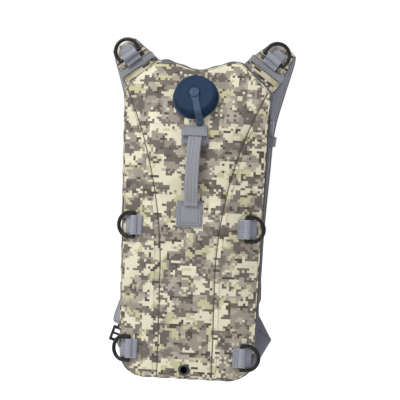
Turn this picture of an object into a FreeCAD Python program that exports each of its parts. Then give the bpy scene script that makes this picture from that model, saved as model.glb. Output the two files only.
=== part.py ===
"""Hydration pack: a padded, sewn carrier around a 2.5-litre water reservoir.

Frame, in millimetres: X to the right as seen from the front, Y from the front towards
the wearer's back, Z up. The origin is under the middle of the pack's bottom edge.
"""

import FreeCAD
import Part
import math
import os
import Sketcher
from FreeCAD import Placement, Rotation, Vector

DIMENSIONS = {
    # carrier outline from the front: bottom, sides, sloping shoulders, two horns and the dip between them
    "bottom_half": 62,
    "corner_round": 36,
    "low_half": 98,
    "high_half": 106,
    "high_level": 396,
    "top_half": 107,
    "top_level": 416,
    "slope_half": 98,
    "slope_level": 427,
    "horn_place": 57,
    "horn_level": 463,
    "dip_level": 446,
    # carrier side profile: distances in front of the frame's XZ plane are negative
    "back_plane": 20,
    "back_thickness": 8,
    "front_deep": -32,
    "front_low": -24,
    "knee_low": 58,
    "knee_high": 140,
    "slope_start": 370,
    "slope_angle": 22,
    "profile_top": 472,
    "toe_rise": 3,
    "toe_depth": 3,
    "origin_level": 230,
    "bevel_start": 48,
    "bevel_angle": 24,
    # raised cushion in the middle of the back panel, and the hose port above it
    "cushion_half": 42,
    "cushion_low": 40,
    "cushion_tall": 360,
    "cushion_rise": 0.8,
    "hose_bore": 7.5,
    "hose_port_place": 38,
    "hose_port_level": 428,
    # sewn layers
    "fabric": 1.5,
    "liner": 3.5,
    "seam_low": 40,
    "seam_knee": 150,
    "seam_radius": 630,
    "layer_gap": 0.3,
    # reservoir
    "bladder_gap": 6.8,
    "bladder_inset": 7,
    "bladder_wall": 1.5,
    "bladder_back": 18,
    "bladder_floor": 24,
    "outlet_depth": -2,
    "barb_radius": 4.5,
    "barb_bore": 3,
    "barb_length": 28,
    # filler port, measured outward from the sloping panel
    "port_level": 406.5,
    "port_hole": 27,
    "filler_bore": 21,
    "neck_outer": 25,
    "neck_top": 12.6,
    "neck_foot": -6.1,
    "flange_outer": 32,
    "thread_pitch": 4,
    "thread_depth": 1.4,
    "cap_outer": 31,
    "cap_inner": 27.4,
    "cap_foot": 3.4,
    "cap_top": 18.4,
    "cap_ceiling": 15.2,
    "button_outer": 7.5,
    "button_top": 22,
    "facing_outer": 34,
    "collar_inner": 26.8,
    "collar_outer": 33.5,
    "tether_level": 18.6,
    "tether_bend": 33,
    "tether_foot": 1.8,
    "tether_wide": 9,
    "tether_thick": 1.3,
    "tether_reach": 44.5,
    "tether_turn": 14.6,
    # D-rings and the webbing that holds them
    "ring_wire": 2.75,
    "ring_half": 17.5,
    "ring_leg": 8.5,
    "bar_height": 4.9,
    "web_thick": 1.5,
    "tab_wide": 28,
    "shoulder_tab_wide": 24,
    "tab_place": 81,
    "tab_high": 219,
    "tab_low_left": 39,
    "tab_low_right": 33,
    # grab handle
    "patch_wide": 38,
    "upper_patch_tall": 28,
    "lower_patch_tall": 38,
    "patch_thick": 1.6,
    "grip_wide": 19,
    "grip_thick": 4,
    "grip_bow": 12,
    "grip_length": 90,
    "grip_place": 3.2,
    "grip_low": 260,
    "grip_lean": 1.65,
    "upper_patch_place": 2.7,
    "upper_patch_low": 338,
    "lower_patch_place": -0.3,
    "lower_patch_low": 219,
    # drain eyelet
    "drain_level": 12,
    "eyelet_bore": 5.2,
    "eyelet_barrel": 6,
    "eyelet_rim": 8.3,
    # haul loop
    "loop_place": -22,
    "loop_level": 439,
    "loop_turn": 9,
    "loop_wide": 22,
    "loop_half": 26,
    "loop_bow": 14,
    "loop_thick": 1.8,
    # shoulder straps
    "pad_thick": 8,
    "run_wide": 25,
    "run_thick": 1.6,
    "band_tall": 15,
    "band_wide": 58,
    "band_thick": 1.6,
    "lock_wide": 34,
    "lock_long": 23,
    "lock_slot": 27,
    "sternum_wide": 20,
    "sternum_level": 352,
    "sternum_plane": 71,
    # zip
    "zip_low": 70,
    "zip_length": 320,
    "zip_slit": 8,
    "zip_tape_wide": 16,
}

PORT_TURN = 90 - DIMENSIONS["slope_angle"]
PARTS_FOLDER = "parts"
SIDES = {"left": -1, "right": 1}
UPRIGHT = Rotation(Vector(1, 0, 0), 90)
SIDE_ON = Rotation(Vector(0, 1, 0), Vector(0, 0, 1), Vector(1, 0, 0), "ZXY")
FACING_BACK = Rotation(Vector(1, 0, 0), -90)
Y_AXIS = Vector(0, 1, 0)
REACH = 200

# Middle line of a shoulder strap on the right of the pack, from the seam at its root, over the fold above
# the horns and down behind the pack: (x, y, z, width, slant of the width in degrees).
STRAP_ROOT = [
    (82, 33, 437, 62, 35),
    (92, 33, 449, 60, 35),
    (108, 35, 470, 48, 34),
    (120, 44, 485, 38, 32),
    (115, 55, 471, 42, 24),
    (99, 60, 425, 47, 14),
    (83, 62, 369, 52, 8),
    (77, 62, 300, 54, 3),
    (73, 58, 225, 54, 0),
]
STRAP_END = {
    "left": [(77, 51, 145, 48, -8), (100, 43, 68, 38, -8)],
    "right": [(74, 52, 160, 50, -2), (80, 45, 106, 36, -8)],
}
# Places along a strap, counted in stations.
WEBBING_START = 1.5
STRIP_START = 1.12
STRIP_END = 1.45
RING_STATION = 1.86
CHEST_STATION = 6.25
STEPS = 4

doc = FreeCAD.newDocument("hydration_pack")
sheet = doc.addObject("Spreadsheet::Sheet", "dims")
for row, (name, number) in enumerate(DIMENSIONS.items(), start=1):
    sheet.set(f"A{row}", name)
    sheet.set(f"B{row}", str(number))
    sheet.setAlias(f"B{row}", name)
doc.recompute()

nodes = {}


def value(formula):
    """The number that a formula in the sheet's cells gives."""
    return float(sheet.evalExpression(str(formula)))


def keep(label, shape_object, place=None):
    """Names a finished sub-part and sets where it stands."""
    shape_object.Label = label
    if place is not None:
        shape_object.Placement = place
    nodes[label] = shape_object
    return shape_object


# ---------------------------------------------------------------- sketches and solids


def arc_side(start, end, radius):
    """An arc from start to end that bulges outward, or inward for a radius below zero."""
    middle = (start + end) * 0.5
    chord = end - start
    reach = math.sqrt(radius**2 - (chord.Length / 2) ** 2)
    inward = Vector(-chord.y, chord.x, 0).normalize()
    centre = middle + inward * math.copysign(reach, radius)
    first, last = (start, end) if radius > 0 else (end, start)
    angles = [math.atan2(p.y - centre.y, p.x - centre.x) for p in (first, last)]
    if angles[1] < angles[0]:
        angles[1] += 2 * math.pi
    circle = Part.Circle(centre, Vector(0, 0, 1), abs(radius))
    return Part.ArcOfCircle(circle, angles[0], angles[1])


def pin(sketch, geometry, point, x, y):
    """Ties one point of a sketch to the sheet's cells."""
    for kind, formula, axis in (("DistanceX", x, -2), ("DistanceY", y, -1)):
        number = value(formula)
        if abs(number) < 1e-9:
            sketch.addConstraint(Sketcher.Constraint("PointOnObject", geometry, point, axis))
            continue
        place = sketch.addConstraint(Sketcher.Constraint(kind, -1, 1, geometry, point, number))
        sketch.setExpression(f"Constraints[{place}]", str(formula))


def outline(sketch, corners, arcs=None):
    """A closed outline through (x, y) pairs of formulas, anticlockwise. arcs gives the radius of
    each curved side by the number of the corner that it leaves."""
    arcs = arcs or {}
    base = sketch.GeometryCount
    count = len(corners)
    points = [Vector(value(x), value(y), 0) for x, y in corners]
    for i in range(count):
        ends = points[i], points[(i + 1) % count]
        side = arc_side(*ends, value(arcs[i])) if i in arcs else Part.LineSegment(*ends)
        sketch.addGeometry(side)
    inward = [i in arcs and value(arcs[i]) < 0 for i in range(count)]
    for i, (x, y) in enumerate(corners):
        before = (i - 1) % count
        start = 2 if inward[i] else 1
        finish = 1 if inward[before] else 2
        sketch.addConstraint(Sketcher.Constraint("Coincident", base + before, finish, base + i, start))
        pin(sketch, base + i, start, x, y)
        if i in arcs:
            radius = abs(value(arcs[i]))
            place = sketch.addConstraint(Sketcher.Constraint("Radius", base + i, radius))
            sketch.setExpression(f"Constraints[{place}]", f"abs({arcs[i]})")


def round_hole(sketch, x, y, radius):
    """A circle in a sketch, for a hole."""
    place = sketch.addGeometry(Part.Circle(Vector(value(x), value(y), 0), Vector(0, 0, 1), value(radius)))
    pin(sketch, place, 3, x, y)
    size = sketch.addConstraint(Sketcher.Constraint("Radius", place, value(radius)))
    sketch.setExpression(f"Constraints[{size}]", str(radius))


def body_sketch(body, role, name):
    sketch = body.newObject("Sketcher::SketchObject", name)
    plane = next(f for f in body.Origin.OriginFeatures if f.Role == role)
    sketch.AttachmentSupport = [(plane, "")]
    sketch.MapMode = "FlatFace"
    return sketch


def new_body(label):
    return doc.addObject("PartDesign::Body", label)


def pad(body, corners, length, arcs=None, holes=(), role="XZ_Plane", name="Pad"):
    """A pad of an outline, even about its sketch plane."""
    sketch = body_sketch(body, role, f"{name}Sketch")
    outline(sketch, corners, arcs)
    for hole in holes:
        round_hole(sketch, *hole)
    feature = body.newObject("PartDesign::Pad", name)
    feature.Profile = sketch
    feature.SideType = "Symmetric"
    feature.setExpression("Length", str(length))
    doc.recompute()
    return feature


def pocket(body, corners, length, role="XZ_Plane", name="Pocket"):
    """A cut right through, even about its sketch plane."""
    sketch = body_sketch(body, role, f"{name}Sketch")
    outline(sketch, corners)
    before = body.Shape.Volume
    feature = body.newObject("PartDesign::Pocket", name)
    feature.Profile = sketch
    feature.SideType = "Symmetric"
    feature.setExpression("Length", str(length))
    doc.recompute()
    if body.Shape.Volume > before - 0.01:
        raise ValueError(f"{body.Name}: {name} cuts nothing")
    return feature


def turned(body, corners, name="Turn"):
    """A solid of revolution about the body's Z axis: corners are (radius, level)."""
    sketch = body_sketch(body, "XZ_Plane", f"{name}Sketch")
    outline(sketch, corners)
    feature = body.newObject("PartDesign::Revolution", name)
    feature.Profile = sketch
    feature.ReferenceAxis = (sketch, ["V_Axis"])
    feature.Angle = 360
    doc.recompute()
    return feature


def screw_ridge(body, corners, climb, name="Thread"):
    """A screw thread's ridge about the body's Z axis."""
    sketch = body_sketch(body, "XZ_Plane", f"{name}Sketch")
    outline(sketch, corners)
    feature = body.newObject("PartDesign::AdditiveHelix", name)
    feature.Profile = sketch
    feature.ReferenceAxis = (sketch, ["V_Axis"])
    feature.Mode = "pitch-height-angle"
    feature.setExpression("Pitch", "dims.thread_pitch")
    feature.setExpression("Height", str(climb))
    doc.recompute()
    return feature


def rectangle(left, low, right, high):
    return [(left, low), (right, low), (right, high), (left, high)]


def prism(name, corners, arcs, direction, turn, near, far):
    """An outline drawn in a plane and drawn out both ways along direction."""
    sketch = doc.addObject("Sketcher::SketchObject", f"{name}_sketch")
    sketch.Placement = Placement(Vector(), turn)
    outline(sketch, corners, arcs)
    return draw_out(name, sketch, direction, near, far)


def draw_out(name, profile, direction, near, far):
    solid = doc.addObject("Part::Extrusion", name)
    solid.Base = profile
    solid.DirMode = "Custom"
    solid.Dir = direction
    solid.LengthFwd = far
    solid.LengthRev = near
    solid.Solid = True
    return solid


def boolean(kind, name, base, tool):
    result = doc.addObject(f"Part::{kind}", name)
    result.Base = base
    result.Tool = tool
    return result


def fused(name, pieces):
    result = doc.addObject("Part::MultiFuse", name)
    result.Shapes = pieces
    return result


def block(name, sizes, corner, place=None):
    """A box with its sizes and its lowest corner as formulas."""
    solid = doc.addObject("Part::Box", name)
    for side, size in zip(("Length", "Width", "Height"), sizes):
        solid.setExpression(side, str(size))
    local = Placement(Vector(*[value(c) for c in corner]), Rotation())
    solid.Placement = place.multiply(local) if place else local
    return solid


def rod(name, radius, length, place):
    solid = doc.addObject("Part::Cylinder", name)
    solid.setExpression("Radius", str(radius))
    solid.setExpression("Height", str(length))
    solid.Placement = place
    return solid


# ---------------------------------------------------------------- the carrier's outer form


def mirrored_outline(right_side):
    """Completes an outline from the corners on its right, listed from the bottom up."""
    left_side = [(f"-({x})", y) for x, y in reversed(right_side) if value(x) > 0]
    return right_side + left_side


carrier_right = [
    ("dims.bottom_half", "0"),
    ("dims.low_half", "dims.corner_round"),
    ("dims.high_half", "dims.high_level"),
    ("dims.top_half", "dims.top_level"),
    ("dims.slope_half", "dims.slope_level"),
    ("dims.horn_place", "dims.horn_level"),
    ("0", "dims.dip_level"),
]
carrier_corners = mirrored_outline(carrier_right)
carrier_arcs = {0: "dims.corner_round", len(carrier_corners) - 2: "dims.corner_round"}
carrier = prism("carrier_outline", carrier_corners, carrier_arcs, Y_AXIS, UPRIGHT, REACH, REACH)
carrier_sketch = carrier.Base

slope_run = "(dims.profile_top - dims.slope_start) * tan(dims.slope_angle * 1deg)"
profile_corners = [
    ("dims.front_low + dims.toe_depth", "0"),
    ("dims.back_plane", "0"),
    ("dims.back_plane", "dims.profile_top"),
    (f"dims.front_deep + {slope_run}", "dims.profile_top"),
    ("dims.front_deep", "dims.slope_start"),
    ("dims.front_deep", "dims.knee_high"),
    ("dims.front_low", "dims.knee_low"),
    ("dims.front_low", "dims.toe_rise"),
]
profile = prism("carrier_profile", profile_corners, {}, Vector(1, 0, 0), SIDE_ON, REACH, REACH)

bevel_run = "(150 - dims.bevel_start) * tan(dims.bevel_angle * 1deg)"
plan_corners = [
    ("-dims.bevel_start", "dims.front_deep"),
    ("dims.bevel_start", "dims.front_deep"),
    ("150", f"dims.front_deep + {bevel_run}"),
    ("150", "100"),
    ("-150", "100"),
    ("-150", f"dims.front_deep + {bevel_run}"),
]
plan = prism("carrier_plan", plan_corners, {}, Vector(0, 0, 1), Rotation(), 50, 600)
bulge = boolean("Common", "carrier_bulge", profile, plan)


def inset_outline(name, inset):
    """The carrier's front outline drawn in by a distance, as a long prism."""
    smaller = doc.addObject("Part::Offset2D", f"{name}_outline")
    smaller.Source = carrier_sketch
    smaller.setExpression("Value", f"-({inset})")
    smaller.Join = "Arc"
    return draw_out(f"{name}_prism", smaller, Y_AXIS, REACH, REACH)


def set_back(name, outline_prism, distance):
    """The carrier's form moved towards the wearer by a distance and cut to an outline."""
    moved = boolean("Common", f"{name}_bulge", profile, plan)
    moved.setExpression("Placement.Base.y", str(distance))
    return boolean("Common", name, moved, outline_prism)


def slab(name, near, far):
    """Everything between two depths."""
    return block(name, ("400", f"({far}) - ({near})", "700"), ("-200", near, "-100"))


def port_place(height=0, turn=0):
    """The filler port's frame: local Z leaves the sloping panel, local Y climbs it."""
    slope = math.tan(math.radians(value("dims.slope_angle")))
    level = value("dims.port_level")
    depth = value("dims.front_deep") + (level - value("dims.slope_start")) * slope
    outward = Rotation(Vector(1, 0, 0), PORT_TURN)
    base = Vector(0, depth, level) + outward.multVec(Vector(0, 0, height))
    return Placement(base, outward.multiply(Rotation(Vector(0, 0, 1), turn)))


def port_drill(name, radius):
    return rod(name, radius, 80, port_place(-40))


def carrier_shell():
    """The front panel in three sewn pieces, the gusset in four, the padded back and the liner."""
    solid = set_back("carrier_solid", carrier, "0")
    behind_front = set_back("behind_front", carrier, "dims.fabric")
    front = boolean("Cut", "front_sheet_whole", solid, behind_front)
    front_clear = boolean("Common", "front_sheet", front, slab("front_depth", "-100", "dims.back_plane"))
    seam_right = [
        ("dims.seam_low", "-5"),
        ("dims.seam_low", "dims.seam_knee"),
        ("dims.top_half + 0.5", "dims.slope_level - 2"),
        ("dims.top_half + 0.5", "dims.horn_level + 20"),
    ]
    seam_corners = mirrored_outline(seam_right)
    seam_arcs = {1: "-dims.seam_radius", 5: "-dims.seam_radius"}
    seams = prism("princess_seams", seam_corners, seam_arcs, Y_AXIS, UPRIGHT, REACH, REACH)
    middle = boolean("Common", "front_middle", front_clear, seams)
    port_hole = port_drill("panel_drill", "dims.port_hole")
    keep("front_panel_centre", boolean("Cut", "front_centre_cut", middle, port_hole))
    sides = boolean("Cut", "front_sides", front_clear, seams)
    for name, left in (("left", "-200"), ("right", "0")):
        half = block(f"front_half_{name}", ("200", "300", "700"), (left, "-150", "-100"))
        keep(f"front_panel_{name}", boolean("Common", f"front_side_{name}", sides, half))

    inside = inset_outline("gusset_inside", "dims.fabric")
    ring = boolean("Cut", "gusset_hoop", behind_front, inside)
    hoop = boolean("Common", "gusset_ring", ring, slab("gusset_depth", "-100", "dims.back_plane"))
    low = block("gusset_low", ("400", "300", "145"), ("-200", "-150", "-100"))
    high = block("gusset_high", ("400", "300", "200"), ("-200", "-150", "dims.top_level - 4"))
    keep("bottom_gusset", boolean("Common", "gusset_bottom_cut", hoop, low))
    keep("top_gusset", boolean("Common", "gusset_top_cut", hoop, high))
    middle_level = block("gusset_middle", ("400", "300", "dims.top_level - 49"), ("-200", "-150", "45"))
    upright_walls = boolean("Common", "gusset_walls", hoop, middle_level)
    left_half = block("gusset_half_left", ("200", "300", "700"), ("-200", "-150", "-100"))
    right_half = block("gusset_half_right", ("200", "300", "700"), ("0", "-150", "-100"))
    keep("side_gusset_left", boolean("Common", "gusset_left_cut", upright_walls, left_half))
    right_wall = boolean("Common", "gusset_right_cut", upright_walls, right_half)
    slit = block(
        "zip_slit",
        ("40", "dims.zip_slit", "dims.zip_length"),
        ("-20", "-dims.zip_slit / 2", "0"),
        zip_place(),
    )
    keep("side_gusset_right", boolean("Cut", "gusset_zip_cut", right_wall, slit))

    back_face = "dims.back_plane + dims.back_thickness"
    padded_back = slab("back_depth", "dims.back_plane", f"{back_face} - dims.cushion_rise")
    border = boolean("Common", "back_border", carrier, padded_back)
    cushion = block(
        "back_cushion",
        ("2 * dims.cushion_half", "dims.cushion_rise + 1", "dims.cushion_tall"),
        ("-dims.cushion_half", f"{back_face} - dims.cushion_rise - 1", "dims.cushion_low"),
    )
    back = fused("back_whole", [border, cushion])
    port = Vector(value("dims.hose_port_place"), 0, value("dims.hose_port_level"))
    hose_hole = rod("hose_hole", "dims.hose_bore", "60", Placement(port, FACING_BACK))
    keep("back_panel", boolean("Cut", "back_cut", back, hose_hole))

    gap = "dims.fabric + dims.layer_gap"
    liner_front = set_back("liner_front", inset_outline("liner", gap), gap)
    liner_back = set_back("liner_back", carrier, f"{gap} + dims.liner")
    liner = boolean("Cut", "liner_whole", liner_front, liner_back)
    liner_depth = slab("liner_depth", "-100", "dims.back_plane - dims.layer_gap")
    liner_clear = boolean("Common", "liner_clear", liner, liner_depth)
    liner_hole = port_drill("liner_drill", "dims.flange_outer + 2")
    keep("foam_liner", boolean("Cut", "liner_cut", liner_clear, liner_hole))


def zip_place():
    """The zip's frame on the right gusset: local Z runs up the wall, local X leaves it."""
    low = value("dims.low_half")
    lean = (value("dims.high_half") - low) / (value("dims.high_level") - value("dims.corner_round"))
    level = value("dims.zip_low")
    x = low + lean * (level - value("dims.corner_round"))
    upright = Rotation(Y_AXIS, math.degrees(math.atan(lean)))
    return Placement(Vector(x, 0, level), upright)


def reservoir():
    """The bladder, a closed thin wall with its filler hole, and the moulded fittings on it."""
    wall = "dims.bladder_wall"
    outline_out = inset_outline("bladder_out", "dims.bladder_inset")
    outline_in = inset_outline("bladder_in", f"dims.bladder_inset + {wall}")
    outer = set_back("bladder_outer", outline_out, "dims.bladder_gap")
    inner = set_back("bladder_inner", outline_in, f"dims.bladder_gap + {wall}")
    outer_limits = block(
        "bladder_limits",
        ("400", "100 + dims.bladder_back", "500"),
        ("-200", "-100", "dims.bladder_floor"),
    )
    inner_limits = block(
        "bladder_inner_limits",
        ("400", f"100 + dims.bladder_back - {wall}", "500"),
        ("-200", "-100", f"dims.bladder_floor + {wall}"),
    )
    skin = boolean("Common", "bladder_skin", outer, outer_limits)
    room = boolean("Common", "bladder_room", inner, inner_limits)
    hollow = boolean("Cut", "bladder_hollow", skin, room)
    filler_drill = rod("bladder_drill", "dims.filler_bore", 25, port_place(-20))
    filler = boolean("Cut", "bladder_filler", hollow, filler_drill)
    floor = Vector(0, value("dims.outlet_depth"), value("dims.bladder_floor"))
    outlet_hole = rod("outlet_hole", "4", "10", Placement(floor - Vector(0, 0, 4), Rotation()))
    keep("bladder", boolean("Cut", "bladder_cut", filler, outlet_hole))

    outlet = new_body("hose_outlet")
    turned(outlet, [("4", "-16"), ("6", "-16"), ("6", "-2"), ("11", "-2"), ("11", "0"), ("4", "0")])
    elbow = body_sketch(outlet, "YZ_Plane", "BarbSketch")
    round_hole(elbow, "0", "-11", "dims.barb_radius")
    barb = outlet.newObject("PartDesign::Pad", "Barb")
    barb.Profile = elbow
    barb.setExpression("Length", "dims.barb_length")
    doc.recompute()
    bore = body_sketch(outlet, "YZ_Plane", "BoreSketch")
    round_hole(bore, "0", "-11", "dims.barb_bore")
    drill = outlet.newObject("PartDesign::Pocket", "Bore")
    drill.Profile = bore
    drill.Reversed = True
    drill.setExpression("Length", "dims.barb_length + 2")
    doc.recompute()
    keep("hose_outlet", outlet, Placement(floor, Rotation()))


def filler_port():
    """The threaded neck, the cap with its gasket, and the tether with its collar and button."""
    neck = new_body("filler_neck")
    turned(
        neck,
        [
            ("dims.filler_bore", "dims.neck_foot"),
            ("dims.flange_outer", "dims.neck_foot"),
            ("dims.flange_outer", "dims.neck_foot + 2"),
            ("dims.neck_outer", "dims.neck_foot + 2"),
            ("dims.neck_outer", "dims.neck_top"),
            ("dims.filler_bore", "dims.neck_top"),
        ],
    )
    male = [
        ("dims.neck_outer - 0.5", "4.5"),
        ("dims.neck_outer", "4.5"),
        ("dims.neck_outer + dims.thread_depth", "5.1"),
        ("dims.neck_outer + dims.thread_depth", "5.7"),
        ("dims.neck_outer", "6.3"),
        ("dims.neck_outer - 0.5", "6.3"),
    ]
    screw_ridge(neck, male, "5")
    keep("filler_neck", neck, port_place())

    cap = new_body("cap")
    turned(
        cap,
        [
            ("dims.cap_inner", "dims.cap_foot"),
            ("dims.cap_outer - 1", "dims.cap_foot"),
            ("dims.cap_outer", "dims.cap_foot + 1"),
            ("dims.cap_outer", "dims.cap_top - 2"),
            ("dims.cap_outer - 2", "dims.cap_top"),
            ("3.4", "dims.cap_top"),
            ("3.4", "dims.cap_top - 2.2"),
            ("0", "dims.cap_top - 2.2"),
            ("0", "dims.cap_ceiling"),
            ("dims.cap_inner", "dims.cap_ceiling"),
        ],
    )
    female = [
        ("dims.cap_inner + 0.5", "6.5"),
        ("dims.cap_inner", "6.5"),
        ("dims.cap_inner - dims.thread_depth", "7.1"),
        ("dims.cap_inner - dims.thread_depth", "7.7"),
        ("dims.cap_inner", "8.3"),
        ("dims.cap_inner + 0.5", "8.3"),
    ]
    screw_ridge(cap, female, "4")
    keep("cap", cap, port_place())

    gasket = new_body("cap_gasket")
    turned(
        gasket,
        [
            ("dims.filler_bore + 0.3", "dims.neck_top + 0.1"),
            ("dims.neck_outer + 1", "dims.neck_top + 0.1"),
            ("dims.neck_outer + 1", "dims.cap_ceiling"),
            ("dims.filler_bore + 0.3", "dims.cap_ceiling"),
        ],
    )
    keep("cap_gasket", gasket, port_place())

    facing = new_body("port_facing")
    turned(
        facing,
        [
            ("dims.port_hole", "0.05"),
            ("dims.facing_outer", "0.05"),
            ("dims.facing_outer", "1"),
            ("dims.port_hole", "1"),
        ],
    )
    keep("port_facing", facing, port_place())

    collar = new_body("tether_collar")
    inner, outer = "dims.collar_inner", "dims.collar_outer"
    turned(collar, [(inner, "1.2"), (outer, "1.2"), (outer, "3"), (inner, "3")])
    lug = rectangle(f"{outer} - 0.5", "1.7", f"{outer} + 2.5", "3")
    pad(collar, lug, "dims.tether_wide", name="Lug")
    toward_tether = -90 + value("dims.tether_turn")
    keep("tether_collar", collar, port_place(0, toward_tether))

    tether = new_body("tether_strap")
    thick = "dims.tether_thick"
    reach = "dims.tether_reach"
    level = "dims.tether_level"
    bend = "dims.tether_bend"
    foot = "dims.tether_foot"
    pad(
        tether,
        [
            ("4", level),
            (bend, level),
            (bend, "9"),
            (f"{reach} - 5.1", "4"),
            (f"{reach} - {thick}", "4"),
            (f"{reach} - {thick}", f"{foot} + {thick}"),
            (f"{bend} + 3.3", f"{foot} + {thick}"),
            (f"{bend} + 3.3", foot),
            (reach, foot),
            (reach, f"4 + {thick}"),
            (f"{reach} - 4.6", f"4 + {thick}"),
            (f"{bend} + {thick}", "9.8"),
            (f"{bend} + {thick}", f"{level} + {thick}"),
            ("4", f"{level} + {thick}"),
        ],
        "dims.tether_wide",
        name="Strap",
    )
    eye = [("3.3", level), ("6.6", level), ("6.6", f"{level} + {thick}"), ("3.3", f"{level} + {thick}")]
    turned(tether, eye, "Eye")
    keep("tether_strap", tether, port_place(0, toward_tether))

    button = new_body("tether_button")
    turned(
        button,
        [
            ("0", "dims.cap_top - 2"),
            ("3", "dims.cap_top - 2"),
            ("3", "dims.button_top - 2"),
            ("dims.button_outer", "dims.button_top - 2"),
            ("dims.button_outer", "dims.button_top - 0.8"),
            ("dims.button_outer - 1", "dims.button_top"),
            ("0", "dims.button_top"),
        ],
    )
    keep("tether_button", button, port_place())


# ---------------------------------------------------------------- D-rings and their webbing tabs


def ring(label, place):
    """A moulded D-ring about its straight bar: local Y along the bar, local X to the round side."""
    wire = "dims.ring_wire"
    half = value("dims.ring_half")
    leg = value("dims.ring_leg")
    height = value("dims.bar_height")
    along_y = Rotation(Vector(1, 0, 0), -90)
    along_x = Rotation(Vector(0, 1, 0), 90)
    pieces = [rod(f"{label}_bar", wire, "2 * dims.ring_half", Placement(Vector(0, -half, height), along_y))]
    for number, side in enumerate((-half, half)):
        leg_place = Placement(Vector(0, side, height), along_x)
        pieces.append(rod(f"{label}_leg{number}", wire, "dims.ring_leg", leg_place))
        corner = doc.addObject("Part::Sphere", f"{label}_corner{number}")
        corner.setExpression("Radius", wire)
        corner.Placement = Placement(Vector(0, side, height), Rotation())
        pieces.append(corner)
    bend = doc.addObject("Part::Torus", f"{label}_bend")
    bend.setExpression("Radius1", "dims.ring_half")
    bend.setExpression("Radius2", wire)
    bend.Angle3 = 180
    bend.Placement = Placement(Vector(leg, 0, height), Rotation(Vector(0, 0, 1), -90))
    pieces.append(bend)
    for piece in pieces:
        piece.Placement = place.multiply(piece.Placement)
    return keep(label, fused(f"{label}_whole", pieces))


def ring_tab(label, place, wide):
    """Webbing folded over a D-ring's bar and sewn down, with its ground strip under the ring."""
    tab = new_body(label)
    thick = "dims.web_thick"
    pad(
        tab,
        [
            ("-12", "0"),
            ("16", "0"),
            ("16", thick),
            ("dims.ring_wire + 2.1", thick),
            ("dims.ring_wire + 2.1", "dims.bar_height + 1"),
            ("dims.ring_wire", "dims.bar_height + dims.ring_wire + 1.8"),
            ("-dims.ring_wire", "dims.bar_height + dims.ring_wire + 1.8"),
            ("-12", f"2 * {thick}"),
        ],
        wide,
        holes=[("0", "dims.bar_height", "dims.ring_wire + 0.4")],
    )
    return keep(label, tab, place)


def frame_of(origin, along, outward):
    """A placement whose local X runs along and whose local Z leaves the cloth."""
    x = Vector(along).normalize()
    z = Vector(outward).normalize()
    y = z.cross(x)
    return Placement(Vector(origin), Rotation(x, y, z, "ZXY"))


def side_ring_place(side, level):
    """A side ring lies on the bevelled part of the front panel and points outward."""
    angle = math.radians(value("dims.bevel_angle"))
    x = value("dims.tab_place")
    y = value("dims.front_deep") + (x - value("dims.bevel_start")) * math.tan(angle)
    along = Vector(side * math.cos(angle), math.sin(angle), 0)
    outward = Vector(side * math.sin(angle), -math.cos(angle), 0)
    return frame_of(Vector(side * x, y, level) + outward * 0.1, along, outward)


def side_rings():
    levels = {
        "upper_left": (-1, "dims.tab_high"),
        "upper_right": (1, "dims.tab_high"),
        "lower_left": (-1, "dims.tab_low_left"),
        "lower_right": (1, "dims.tab_low_right"),
    }
    for name, (side, level) in levels.items():
        place = side_ring_place(side, value(level))
        ring_tab(f"ring_tab_{name}", place, "dims.tab_wide")
        ring(f"d_ring_{name}", place)


# ---------------------------------------------------------------- grab handle, grommet and haul loop


def grab_handle():
    """A strip of webbing bowed between two sewn patches on the front panel."""
    front = "dims.front_deep - dims.patch_thick - 0.1"
    upper_side = "dims.upper_patch_place - dims.patch_wide / 2"
    lower_side = "dims.lower_patch_place - dims.patch_wide / 2"
    base = block(
        "upper_patch_base",
        ("dims.patch_wide", "dims.patch_thick", "dims.upper_patch_tall"),
        (upper_side, front, "dims.upper_patch_low"),
    )
    cover = block(
        "upper_patch_cover",
        ("dims.patch_wide", "dims.patch_thick", "dims.upper_patch_tall / 2"),
        (upper_side, f"{front} - dims.patch_thick", "dims.upper_patch_low + dims.upper_patch_tall / 2"),
    )
    keep("handle_upper_patch", fused("upper_patch", [base, cover]))
    lower = block(
        "lower_patch",
        ("dims.patch_wide", "dims.patch_thick", "dims.lower_patch_tall"),
        (lower_side, front, "dims.lower_patch_low"),
    )
    keep("handle_lower_patch", lower)

    grip = new_body("grab_handle")
    length = "dims.grip_length"
    thick = "dims.grip_thick"
    bow = "dims.grip_bow"
    pad(
        grip,
        [
            ("0", "0"),
            (f"{thick} * 0.6", "2"),
            (f"{thick} + {bow}", f"{length} * 0.3"),
            (f"{thick} + {bow}", f"{length} * 0.7"),
            (f"{thick} * 0.6", f"{length} - 2"),
            ("0", length),
            ("0", f"{length} - 6"),
            (bow, f"{length} * 0.68"),
            (bow, f"{length} * 0.32"),
            ("0", "6"),
        ],
        "dims.grip_wide",
    )
    outward = Rotation(Vector(0, 0, 1), -90)
    upright = Rotation(Y_AXIS, value("dims.grip_lean"))
    base_point = Vector(value("dims.grip_place"), value(f"{front} - 0.3"), value("dims.grip_low"))
    keep("grab_handle", grip, Placement(base_point, upright.multiply(outward)))


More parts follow.
